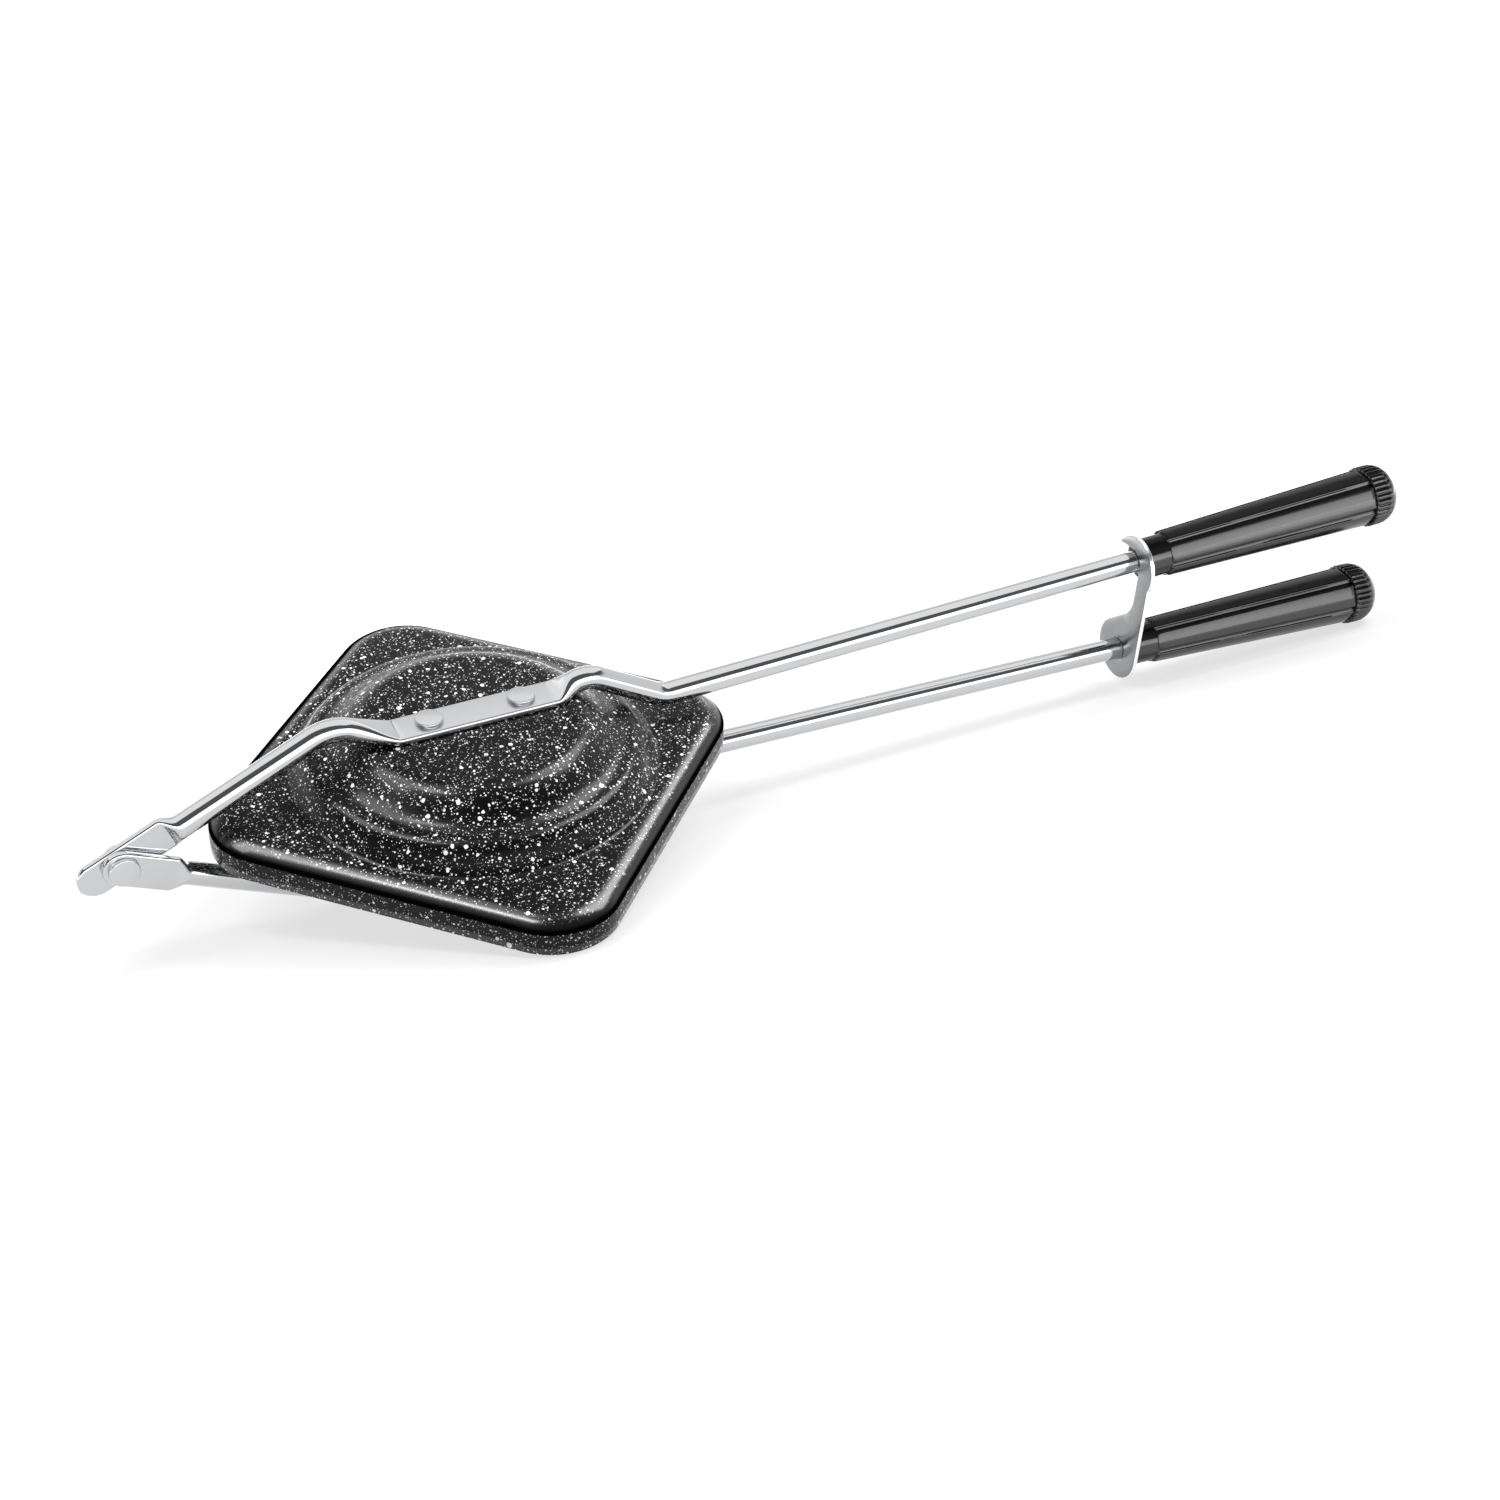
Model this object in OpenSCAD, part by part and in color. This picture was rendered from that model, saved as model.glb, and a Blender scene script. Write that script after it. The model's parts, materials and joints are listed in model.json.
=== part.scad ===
// Hinged pie iron: two square non-stick pans, each riveted to a bent steel tube arm,
// hinged at one end, with ribbed grips and a swing latch at the other.
// The tool is drawn about its own middle plane (z = 0 between the pans, x along the tool,
// pan centre at x = 0), then laid down the way it rests on a table.

/* [Pans] */
// Outer side of the square upper pan
pan_side = 140; // [134:1:150]
// Radius of the pan's corners in plan
pan_corner_r = 23; // [16:0.5:34]
// Thickness of the pressed sheet
sheet_t = 2; // [1.2:0.1:2.6]
// Height of the pan's rim crease above the middle plane
crease_h = 1.9; // [1:0.1:3.5]
// Depth of the upper pan's skirt below the middle plane
skirt_drop = 6.1; // [5:0.1:9]
// Width of the rounded shoulder inside the crease
shoulder_w = 8; // [6:0.25:11]
// Height of the flat land above the middle plane
land_h = 5.8; // [5:0.1:8]
// Gap all round between the lower pan's rim and the upper pan's skirt
nest_clear = 1; // [0.9:0.1:2]
// Gap between the lower pan's rim and the upper pan's shoulder above it
rim_seat_clear = 0.3; // [0.2:0.05:0.8]

/* [Pressed dome] */
// Height of the middle disc above the middle plane
disc_h = 23.4; // [19:0.1:27]
// Width of the slope between the middle disc and the terrace, in plan
upper_slope_w = 15.5; // [12:0.5:18]
// Height of the terrace between the two slopes
terrace_h = 14.6; // [11:0.1:17]
// Width of the terrace
terrace_w = 2.5; // [0.5:0.25:4]
// Width of the slope between the terrace and the land, in plan
lower_slope_w = 8.3; // [6:0.1:10]
// Width of the flat land where it is narrowest
land_w = 0.2; // [0.1:0.1:3]

/* [Arms] */
// Outer diameter of the arm tube
tube_d = 8; // [7:0.1:9]
// Wall of the arm tube
tube_wall = 1.1; // [0.8:0.1:1.3]
// Thickness of the tube where it is pressed flat
flat_t = 2.8; // [2.6:0.1:3.2]
// Distance from the pan's centre back to the hinge
hinge_back = 118.5; // [112:0.5:130]
// Distance from the pan's centre back to the top of the rear crest
rear_crest_back = 48.5; // [46:0.5:54]
// Height of the rear crest's corner above the middle plane
rear_crest_h = 33; // [31:0.25:36]
// Bend radius of the rear crest
rear_crest_r = 14; // [10:0.5:18]
// Length of the flat strip on the pan
strip_l = 56; // [50:1:60]
// Distance of the strip's middle in front of the pan's centre
strip_shift = 1.2; // [-2:0.1:3]
// Distance from the pan's centre forward to the front crest's corner
front_crest_x = 40.7; // [39.5:0.1:44]
// Height of the front crest's corner above the middle plane
front_crest_h = 28.9; // [28:0.1:31]
// Bend radius of the front crest
front_crest_r = 10; // [8:0.5:11]
// Distance from the pan's centre forward to the foot of the slope
foot_x = 67.9; // [64:0.1:74]
// Height of the tube's centre at the foot of the slope
foot_h = 13.1; // [12.5:0.1:15]
// Bend radius at the foot of the slope
foot_r = 12; // [8:0.5:16]
// Angle at which each rod runs away from the middle plane
rod_slope = 1.77; // [1:0.01:2.5]

/* [Hinge] */
// How far the flat tab runs past the hinge pin's centre, to the centre of its round tip
tab_tip = 9; // [7:0.1:9.2]
// Length of the flat tab from the hinge pin towards the pan
tab_reach = 16.5; // [16.3:0.1:20]
// Length over which the tab turns back into round tube
tab_taper = 6; // [4:0.5:9]
// Gap between the faces of the two tabs
tab_gap = 0.3; // [0.2:0.05:0.6]
// Diameter of the hinge rivet's shank
hinge_pin_d = 6; // [5:0.1:7]
// Diameter of the hinge rivet's heads
hinge_head_d = 10.2; // [9:0.1:12]
// Thickness of the hinge rivet's heads
hinge_head_t = 2; // [1:0.1:3]
// Radial play of the moving tab on the hinge rivet
hinge_play = 0.05; // [0.02:0.01:0.1]

/* [Pan rivets] */
// Distance between the two rivets of a pan
rivet_gap = 32; // [28:0.5:38]
// Diameter of a rivet's shank
rivet_d = 5; // [4:0.1:6]
// Diameter of a rivet's outer head
rivet_head_d = 9.3; // [8:0.1:10.5]
// Height of a rivet's outer head
rivet_head_t = 1.9; // [1:0.1:3]
// Diameter of the flat tail on the food side
rivet_tail_d = 8.4; // [7:0.1:10]
// Thickness of the flat tail on the food side
rivet_tail_t = 0.9; // [0.5:0.1:1.5]

/* [Grips] */
// Distance along the rod to the front of the grip
grip_start = 260; // [260:0.5:264]
// Length of the plain neck
neck_l = 9.5; // [7:0.5:14]
// Diameter of the plain neck
neck_d = 15.1; // [14:0.1:16]
// Length of the ribbed part
rib_l = 90; // [86:1:100]
// Diameter over the ribs at the neck end
rib_front_d = 17.6; // [17:0.1:19]
// Diameter over the ribs at the cap end
rib_back_d = 22.2; // [20:0.1:24]
// Number of ribs
rib_count = 6; // [4:1:10]
// Width of a groove between two ribs
groove_w = 2.2; // [1.4:0.1:3]
// Diameter over the floors of the grooves at the neck end
groove_floor_d = 15.1; // [14.5:0.1:16]
// Length of the end cap's fluted rim
cap_rim_l = 6; // [4:0.5:8]
// Whole length of the end cap's outside
cap_l = 13.5; // [11:0.5:16]
// Diameter over the cap's flutes
cap_d = 23; // [21:0.1:25]
// Number of flutes round the cap
flute_count = 32; // [20:1:40]
// Diameter of the pocket in the grip's end
pocket_d = 13; // [11:0.1:14]
// Depth of the pocket in the grip's end
pocket_l = 6; // [5:0.1:8]
// Wall of the grip between the rod's end and the pocket
pocket_wall = 8.5; // [4:0.5:18]
// Gap between the end cap's spigot and the screw's head
cap_screw_gap = 0.5; // [0.3:0.1:1]
// Diameter of the grip screw's shank
screw_d = 4; // [3:0.1:5]
// Diameter of the grip screw's head
screw_head_d = 8.4; // [7:0.1:10]
// Height of the grip screw's head
screw_head_t = 2.6; // [2:0.1:3.5]
// Length of the threaded plug in the rod's end
plug_l = 14; // [10:0.5:20]

/* [Latch] */
// Distance along the lower rod to the latch plate's front face
latch_x = 256; // [250:0.5:256.5]
// Thickness of the latch plate
latch_t = 1.6; // [1:0.1:2]
// Radius of the lobe round the lower rod
lower_lobe_r = 11.5; // [10:0.1:13]
// Radius of the hook's lobe over the upper rod
hook_lobe_r = 11.4; // [10:0.1:12.5]
// Sideways shift of the hook's lobe towards the strap
hook_shift = 1.3; // [0:0.1:2]
// Radius of the fillet between the strap and the lower lobe
strap_fillet = 11; // [8:0.5:12]
// Angle above the sideways direction at which the fillet's straight edge faces
edge_lean = 50; // [42:1:60]
// Radial play of the latch on the lower rod
latch_play = 0.5; // [0.1:0.05:0.8]
// Radial play of the upper rod in the hook
hook_play = 0.8; // [0.4:0.05:0.9]

/* [Hidden] */

coating = "#222224";
steel = "#c9cbce";
rivet_metal = "#b9bbbe";
bakelite = "#161617";
latch_metal = "#a9abad";
eps = 0.01;
cut = 1;             // how far a cutting tool stands past the face it cuts
seam = 0.05;         // how far a bend or a taper reaches into its neighbours
skin = 0.07;         // how far a bend's or taper's end lies inside its neighbour's surface
hull_fn = 32;
$fn = 64;

tube_r = tube_d / 2;
tube_bore_r = tube_r - tube_wall;
flat_w = tube_d * PI / 2;                      // a tube pressed flat is half its girth wide
tab_r = flat_w / 2;
strip_z = disc_h + flat_t / 2;
strip_back = strip_shift - strip_l / 2;
strip_front = strip_shift + strip_l / 2;

// Directions of the arm's straight runs, in degrees above the x axis
rise_a = atan2(rear_crest_h, hinge_back - rear_crest_back);
drop_a = -atan2(rear_crest_h - strip_z, strip_back + rear_crest_back);
lift_a = atan2(front_crest_h - strip_z, front_crest_x - strip_front);
slope_a = -atan2(front_crest_h - foot_h, foot_x - front_crest_x);
rear_tangent = rear_crest_r * tan((rise_a - drop_a) / 2);
front_tangent = front_crest_r * tan((lift_a - slope_a) / 2);
foot_tangent = foot_r * tan((rod_slope - slope_a) / 2);
rise_l = norm([hinge_back - rear_crest_back, rear_crest_h]);
rod_z = foot_h - foot_x * tan(rod_slope);      // height of the rod's line above the pan's centre
rod_start = foot_x / cos(rod_slope) + foot_tangent;

// The dome, from the shoulder inwards
dome_r = pan_side / 2 - shoulder_w - land_w;
upper_slope_r = dome_r - lower_slope_w - terrace_w;
disc_r = upper_slope_r - upper_slope_w;

// The lower pan's rim nests in the upper pan's skirt, and the two lands are alike
lower_side = pan_side - 2 * sheet_t - 2 * nest_clear;
lower_corner_r = pan_corner_r - sheet_t - nest_clear;
lower_shoulder_w = shoulder_w - sheet_t - nest_clear;
shoulder_h = land_h - crease_h;
function arc_r(w, h) = (w * w + h * h) / (2 * h);
inner_arc_r = arc_r(shoulder_w, shoulder_h) - sheet_t;
rim_top = land_h - sheet_t - inner_arc_r + sqrt(inner_arc_r ^ 2 - lower_shoulder_w ^ 2) - rim_seat_clear;

// The grips
rib_start = grip_start + neck_l;
rib_end = rib_start + rib_l;
rib_taper = atan2((rib_back_d - rib_front_d) / 2, rib_l);
pocket_floor = rib_end - pocket_l;
rod_end = pocket_floor - pocket_wall;

// Distance between the two rods' centres in the latch's plane, seen square to the lower rod
latch_mid = latch_x + latch_t / 2;
rod_gap = 2 * rod_z * cos(rod_slope) + (latch_mid + 2 * rod_z * sin(rod_slope)) * tan(2 * rod_slope);

// How the tool lies on a table: on the lower arm's rear crest, the lower grip's end and the
// nearest corner of the upper pan's skirt
crest_turn = (rise_a - drop_a) / 2;
crest_low = rear_crest_h - rear_crest_r * (cos((rise_a + drop_a) / 2) / cos(crest_turn) - 1);
corner_y = pan_side / sqrt(2) - pan_corner_r * (sqrt(2) - 1);
corner_up = crest_low - skirt_drop;
level_roll = atan2(corner_up, corner_y) + asin(tube_r / norm([corner_y, corner_up]));
grip_low = rod_z + rib_end * sin(rod_slope);
crest_drop = crest_low * cos(level_roll) + tube_r;
grip_drop = grip_low * cos(level_roll) + cap_d / 2;
rest_pitch = asin((crest_drop - grip_drop) / (rib_end + rear_crest_back));
corner_lag = rear_crest_back * sin(rest_pitch);
rest_roll = atan2(corner_up, corner_y) + asin((tube_r - corner_lag) / norm([corner_y, corner_up]));
rest_lift = crest_low * cos(rest_roll) + tube_r - rear_crest_back * sin(rest_pitch);

// Shift that puts the middle of the box round the resting tool over the origin
tab_end_x = -hinge_back - tab_tip * cos(rise_a) - tab_r;
cap_end_x = (rib_end + cap_l) * cos(rod_slope);
cap_lean = grip_low * cos(rest_roll) * sin(rest_pitch);
mid_x = (tab_end_x + cap_end_x) / 2 + cap_lean / 2;
far_y = corner_y * cos(rest_roll) + skirt_drop * sin(rest_roll);
near_y = -corner_y * cos(rest_roll) - crease_h * sin(rest_roll);
mid_y = (far_y + near_y) / 2;

echo(rest_roll = rest_roll, rest_pitch = rest_pitch, rest_lift = rest_lift);
echo(mid_x = mid_x, mid_y = mid_y, rod_z = rod_z, rod_gap = rod_gap, rim_top = rim_top);

// Lays the tool down as it rests
module at_rest() {
    translate([-mid_x, -mid_y, rest_lift]) rotate([rest_roll, rest_pitch, 0]) children();
}

// Turns a piece of the upper half into its twin of the lower half
module under() {
    mirror([0, 0, 1]) children();
}

// Puts children on the upper rod's centre line, x along the rod from above the pan's centre
module on_rod() {
    translate([0, 0, rod_z]) rotate([0, -rod_slope, 0]) children();
}

// Turns a shape drawn up the z axis to run along x
module along_x() {
    rotate([0, 90, 0]) children();
}

/* ---- pans ---- */

// Height of the pressed dome at a distance from the centre
function ease(t) = 0.5 - 0.5 * cos(180 * min(1, max(0, t)));
function dome_z(r) = land_h
    + (terrace_h - land_h) * ease((dome_r - r) / (dome_r - upper_slope_r - terrace_w))
    + (disc_h - terrace_h) * ease((upper_slope_r - r) / (upper_slope_r - disc_r));

// The solid of the dome, drawn by its outline from the disc's edge to the land
module dome(sink, base) {
    steps = 26;
    rim = [for (i = [0:steps]) let (r = disc_r + (dome_r - disc_r) * i / steps)
        [r - sink * 0.5, dome_z(r) - sink]];
    rotate_extrude($fn = 120) polygon(concat([[0, base], [0, disc_h - sink]], rim, [[dome_r, base]]));
}

// Profile of the pan's edge from the corner's centre outwards: wall, crease, shoulder and land
module edge_profile(r, w, low, top, arc) {
    intersection() {
        translate([0, low]) square([r, top - low]);
        union() {
            translate([r - w, top - arc]) circle(arc, $fn = 96);
            translate([0, low]) square([r - w, top - low]);
            if (top - arc > low) translate([0, low]) square([r, top - arc - low]);
        }
    }
}

// A square block with round corners whose edge follows the profile, its corners on the axes
module edge_block(side, r, w, low, top, arc) {
    reach = side / 2 - r;
    rotate([0, 0, 45]) {
        translate([-reach, -reach, low]) cube([2 * reach, 2 * reach, top - low]);
        for (turn = [0:90:270]) rotate([0, 0, turn]) {
            translate([reach, reach, 0]) rotate_extrude(angle = 90, $fn = 96)
                edge_profile(r, w, low, top, arc);
            translate([reach, reach, 0]) rotate([90, 0, 0]) linear_extrude(2 * reach)
                edge_profile(r, w, low, top, arc);
        }
    }
}

// One pressed pan, dome up, open below
module pan(side, r, shoulder, bottom) {
    arc = arc_r(shoulder, shoulder_h);
    difference() {
        union() {
            edge_block(side, r, shoulder, bottom, land_h, arc);
            dome(0, land_h - sheet_t / 2);
        }
        edge_block(side - 2 * sheet_t, r - sheet_t, shoulder - sheet_t, bottom - cut,
            land_h - sheet_t, arc - sheet_t);
        dome(sheet_t, land_h - sheet_t - cut);
        rivet_holes();
    }
}

// The two rivets' holes through a pan and its strip
module rivet_holes() {
    for (end = [-1, 1]) translate([strip_shift + end * rivet_gap / 2, 0, disc_h - sheet_t - cut])
        cylinder(h = sheet_t + flat_t + 2 * cut, d = rivet_d);
}

module upper_pan() {
    color(coating) pan(pan_side, pan_corner_r, shoulder_w, -skirt_drop);
}

module lower_pan() {
    color(coating) under() pan(lower_side, lower_corner_r, lower_shoulder_w, -rim_top);
}

/* ---- arms ---- */

// A straight length of tube from a point in the x-z plane, in a direction
module run(from, angle, length, d) {
    translate([from[0], 0, from[1]]) rotate([0, -angle, 0]) along_x() cylinder(h = length, d = d);
}

// A bend between two directions whose straight runs meet at a corner; its ends sit inside them
module bend(corner, a_in, a_out, r) {
    side = a_out < a_in ? -1 : 1;
    mid = (a_in + a_out) / 2 + 90 * side;
    reach = r / cos((a_out - a_in) / 2);
    lap = seam * 180 / (PI * r);
    start = (side < 0 ? a_out + 90 : a_in - 90) - lap;
    translate([corner[0] + reach * cos(mid), 0, corner[1] + reach * sin(mid)])
        rotate([90, 0, 0]) rotate([0, 0, start])
            rotate_extrude(angle = abs(a_out - a_in) + 2 * lap) translate([r, 0]) circle(tube_r - skin);
}

// A thin slice of round tube, or of tube pressed flat, square to a direction
module round_slice(at, angle, shift) {
    translate([at[0], 0, at[1]]) rotate([0, -angle, 0]) translate([shift, 0, 0]) along_x()
        cylinder(h = eps, r = tube_r - 2 * skin, $fn = hull_fn);
}
module flat_slice(at, y, angle, shift, size) {
    translate([at[0], y, at[1]]) rotate([0, -angle, 0])
        translate([shift, -size[0] / 2 + skin, -size[1] / 2 + skin])
            cube([eps, size[0] - 2 * skin, size[1] - 2 * skin]);
}

// The strip on the pan: tube pressed flat, with round edges
module strip() {
    translate([strip_back, 0, strip_z]) rotate([90, 0, 90]) linear_extrude(strip_l) {
        square([flat_w - flat_t, flat_t], center = true);
        for (end = [-1, 1]) translate([end * (flat_w - flat_t) / 2, 0]) circle(d = flat_t);
    }
}

// The hinge tab: tube pressed flat on edge, with a round tip
module tab(y) {
    translate([-hinge_back, y + flat_t / 2, 0]) rotate([0, -rise_a, 0]) rotate([90, 0, 0])
        linear_extrude(flat_t) {
            translate([-tab_tip, 0]) circle(tab_r);
            translate([-tab_tip, -tab_r]) square([tab_tip + tab_reach, 2 * tab_r]);
        }
}

// One arm, as the upper one lies; its tab stands to the side given by sign
module arm(sign, pin_hole_d) {
    hinge = [-hinge_back, 0];
    rear = [-rear_crest_back, rear_crest_h];
    front = [front_crest_x, front_crest_h];
    foot = [foot_x, foot_h];
    tab_y = sign * (tab_gap + flat_t) / 2;
    tube_from = tab_reach + tab_taper;
    slope_l = norm([foot_x - front_crest_x, front_crest_h - foot_h]);
    difference() {
        union() {
            tab(tab_y);
            hull() {
                flat_slice(hinge, tab_y, rise_a, tab_reach - seam, [flat_t, flat_w]);
                round_slice(hinge, rise_a, tube_from + seam);
            }
            run([hinge[0] + tube_from * cos(rise_a), tube_from * sin(rise_a)], rise_a,
                rise_l - tube_from - rear_tangent, tube_d);
            bend(rear, rise_a, drop_a, rear_crest_r);
            hull() {
                round_slice(rear, drop_a, rear_tangent - seam);
                flat_slice([strip_back, strip_z], 0, 0, seam, [flat_w, flat_t]);
            }
            strip();
            hull() {
                flat_slice([strip_front, strip_z], 0, 0, -seam, [flat_w, flat_t]);
                round_slice(front, lift_a, seam - front_tangent);
            }
            bend(front, lift_a, slope_a, front_crest_r);
            run([front[0] + front_tangent * cos(slope_a), front[1] + front_tangent * sin(slope_a)],
                slope_a, slope_l - front_tangent - foot_tangent, tube_d);
            bend(foot, slope_a, rod_slope, foot_r);
            on_rod() translate([rod_start, 0, 0]) along_x() cylinder(h = rod_end - rod_start, d = tube_d);
        }
        translate([-hinge_back, 0, 0]) rotate([90, 0, 0])
            cylinder(h = 2 * flat_w, d = pin_hole_d, center = true);
        rivet_holes();
        on_rod() translate([rod_start, 0, 0]) along_x()
            cylinder(h = rod_end - rod_start + cut, r = tube_bore_r);
    }
}

module upper_arm() {
    color(steel) arm(1, hinge_pin_d + 2 * hinge_play);
}

module lower_arm() {
    color(steel) under() arm(-1, hinge_pin_d);
}

/* ---- rivets ---- */

// A flat rivet head with a rounded edge, standing up from z = 0
module head(d, h) {
    edge = min(h, d / 2) * 0.4;
    rotate_extrude() {
        square([d / 2 - edge, h]);
        square([d / 2, h - edge]);
        translate([d / 2 - edge, h - edge]) circle(edge);
    }
}

// One rivet through the strip and the pan of the upper half, at one end of the pair
module pan_rivet(end) {
    color(rivet_metal) translate([strip_shift + end * rivet_gap / 2, 0, 0]) {
        translate([0, 0, disc_h + flat_t]) head(rivet_head_d, rivet_head_t);
        translate([0, 0, disc_h - sheet_t]) cylinder(h = sheet_t + flat_t, d = rivet_d);
        translate([0, 0, disc_h - sheet_t - rivet_tail_t]) cylinder(h = rivet_tail_t, d = rivet_tail_d);
    }
}

// The rivet that the arms turn on, tight in the lower arm's tab at the near side
module hinge_rivet() {
    near = -tab_gap / 2 - flat_t;
    far = -near + tab_gap / 2;
    color(rivet_metal) translate([-hinge_back, 0, 0]) {
        translate([0, near, 0]) rotate([90, 0, 0]) head(hinge_head_d, hinge_head_t);
        translate([0, far, 0]) rotate([90, 0, 0]) cylinder(h = far - near, d = hinge_pin_d);
        translate([0, far, 0]) rotate([-90, 0, 0]) head(hinge_head_d, hinge_head_t);
    }
}

/* ---- grips ---- */

// One grip on the upper rod: plain neck, ribs with round-floored grooves, pocket at the end
module grip() {
    floor_r = groove_floor_d / 2 + groove_w / 2;
    color(bakelite) on_rod() difference() {
        union() {
            translate([grip_start, 0, 0]) along_x() cylinder(h = neck_l, d = neck_d);
            translate([rib_start, 0, 0]) along_x()
                cylinder(h = rib_l, d1 = rib_front_d, d2 = rib_back_d);
        }
        for (i = [0:rib_count - 1]) rotate([(i + 0.5) * 360 / rib_count, 0, 0])
            translate([rib_start, 0, floor_r]) rotate([0, -rib_taper, 0]) {
                translate([-cut, 0, 0]) along_x() cylinder(h = rib_l + 2 * cut, d = groove_w);
                translate([-cut, -groove_w / 2, 0]) cube([rib_l + 2 * cut, groove_w, rib_back_d]);
            }
        translate([grip_start - cut, 0, 0]) along_x() cylinder(h = rod_end - grip_start + cut, d = tube_d);
        along_x() cylinder(h = rib_end, d = screw_d);
        translate([pocket_floor, 0, 0]) along_x() cylinder(h = pocket_l + cut, d = pocket_d);
    }
}

// Threaded plug pressed into the end of the upper rod
module grip_plug() {
    color(rivet_metal) on_rod() translate([rod_end - plug_l, 0, 0]) along_x() difference() {
        cylinder(h = plug_l, r = tube_bore_r);
        translate([0, 0, -cut]) cylinder(h = plug_l + 2 * cut, d = screw_d);
    }
}

// Screw that draws the grip onto the rod, its head on the pocket's floor
module grip_screw() {
    slot_w = screw_head_t / 3;
    color(rivet_metal) on_rod() difference() {
        union() {
            translate([rod_end - plug_l, 0, 0]) along_x()
                cylinder(h = pocket_floor - rod_end + plug_l, d = screw_d);
            translate([pocket_floor, 0, 0]) along_x() head(screw_head_d, screw_head_t);
        }
        translate([pocket_floor + screw_head_t / 2, -screw_head_d, -slot_w / 2])
            cube([screw_head_t, 2 * screw_head_d, slot_w]);
    }
}

// End cap: spigot in the pocket, fluted rim and a round end
module end_cap() {
    round_r = (cap_d / 2 - cap_edge_r());
    color(bakelite) on_rod() translate([rib_end, 0, 0]) along_x() {
        difference() {
            cylinder(h = cap_rim_l, d = cap_d);
            for (i = [0:flute_count - 1]) rotate([0, 0, i * 360 / flute_count])
                translate([cap_d / 2 + flute_d() * 0.25, 0, -cut])
                    cylinder(h = cap_rim_l + 2 * cut, d = flute_d(), $fn = 24);
        }
        translate([0, 0, cap_rim_l]) rotate_extrude() intersection() {
            square([cap_d, cap_l - cap_rim_l]);
            translate([0, cap_l - cap_rim_l - dome_arc()]) circle(dome_arc(), $fn = 120);
        }
        translate([0, 0, screw_head_t + cap_screw_gap - pocket_l])
            cylinder(h = pocket_l - screw_head_t - cap_screw_gap, d = pocket_d);
    }
}
function flute_d() = cap_d * PI / flute_count * 0.72;
function cap_edge_r() = flute_d() * 0.25;
function dome_arc() = arc_r(cap_d / 2 - cap_edge_r(), cap_l - cap_rim_l);

/* ---- latch ---- */

// The plate's outline, the lower rod's centre at the origin and the upper rod's above it
module latch_outline() {
    notch_r = tube_r + hook_play;
    // the edge runs from the strap round a fillet, then straight on to the lower lobe
    facing = [cos(edge_lean), sin(edge_lean)];
    fillet_x = strap_fillet - notch_r;
    fillet_y = (lower_lobe_r + strap_fillet - fillet_x * facing[0]) / facing[1];
    fillet_c = [fillet_x, fillet_y];
    difference() {
        union() {
            circle(lower_lobe_r);
            translate([-hook_shift, rod_gap - hook_shift]) circle(hook_lobe_r);
            polygon([[0, 0], (lower_lobe_r - seam) * facing, fillet_c - (strap_fillet - seam) * facing,
                fillet_c, [fillet_x, rod_gap], [-lower_lobe_r, rod_gap], [-lower_lobe_r, 0]]);
        }
        circle(tube_r + latch_play);
        translate([0, rod_gap]) circle(notch_r);
        translate(fillet_c) circle(strap_fillet);
        // below its rod the hook is open as wide as the notch, down to the fillet
        translate([-notch_r, fillet_y]) square([2 * hook_lobe_r, rod_gap - fillet_y]);
        // mouth: the path of the upper rod as the latch swings about the lower one
        difference() {
            circle(rod_gap + notch_r);
            circle(rod_gap - notch_r);
            translate([-2 * rod_gap, -2 * rod_gap]) square([2 * rod_gap, 4 * rod_gap]);
            translate([0, -2 * rod_gap]) square([2 * rod_gap, 2 * rod_gap]);
        }
    }
}

module latch() {
    color(latch_metal) under() on_rod() translate([latch_x, 0, 0]) rotate([90, 0, 90])
        linear_extrude(latch_t) mirror([0, 1]) latch_outline();
}

at_rest() lower_pan();
at_rest() lower_arm();
at_rest() under() pan_rivet(-1);  // lower_rear_rivet
at_rest() under() pan_rivet(1);  // lower_front_rivet
at_rest() hinge_rivet();
at_rest() under() grip();  // lower_grip
at_rest() under() grip_plug();  // lower_grip_plug
at_rest() under() grip_screw();  // lower_grip_screw
at_rest() under() end_cap();  // lower_end_cap
at_rest() upper_pan();
at_rest() upper_arm();
at_rest() pan_rivet(-1);  // upper_rear_rivet
at_rest() pan_rivet(1);  // upper_front_rivet
at_rest() grip();  // upper_grip
at_rest() grip_plug();  // upper_grip_plug
at_rest() grip_screw();  // upper_grip_screw
at_rest() end_cap();  // upper_end_cap
at_rest() latch();
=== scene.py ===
"""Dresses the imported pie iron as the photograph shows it.

Every piece is drawn in the tool's own frame (millimetres, x along the tool from the hinge to the
grips, z square to the plane between the two pans) and laid down by the resting transform that the
packed joints give, so it lands on the CAD node that it stands for.
"""

import json
import logging
import math
from dataclasses import dataclass, field
from enum import Enum, IntEnum
from typing import Callable, Sequence

import bmesh
import bpy
import numpy as np
from mathutils import Matrix, Vector

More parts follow.
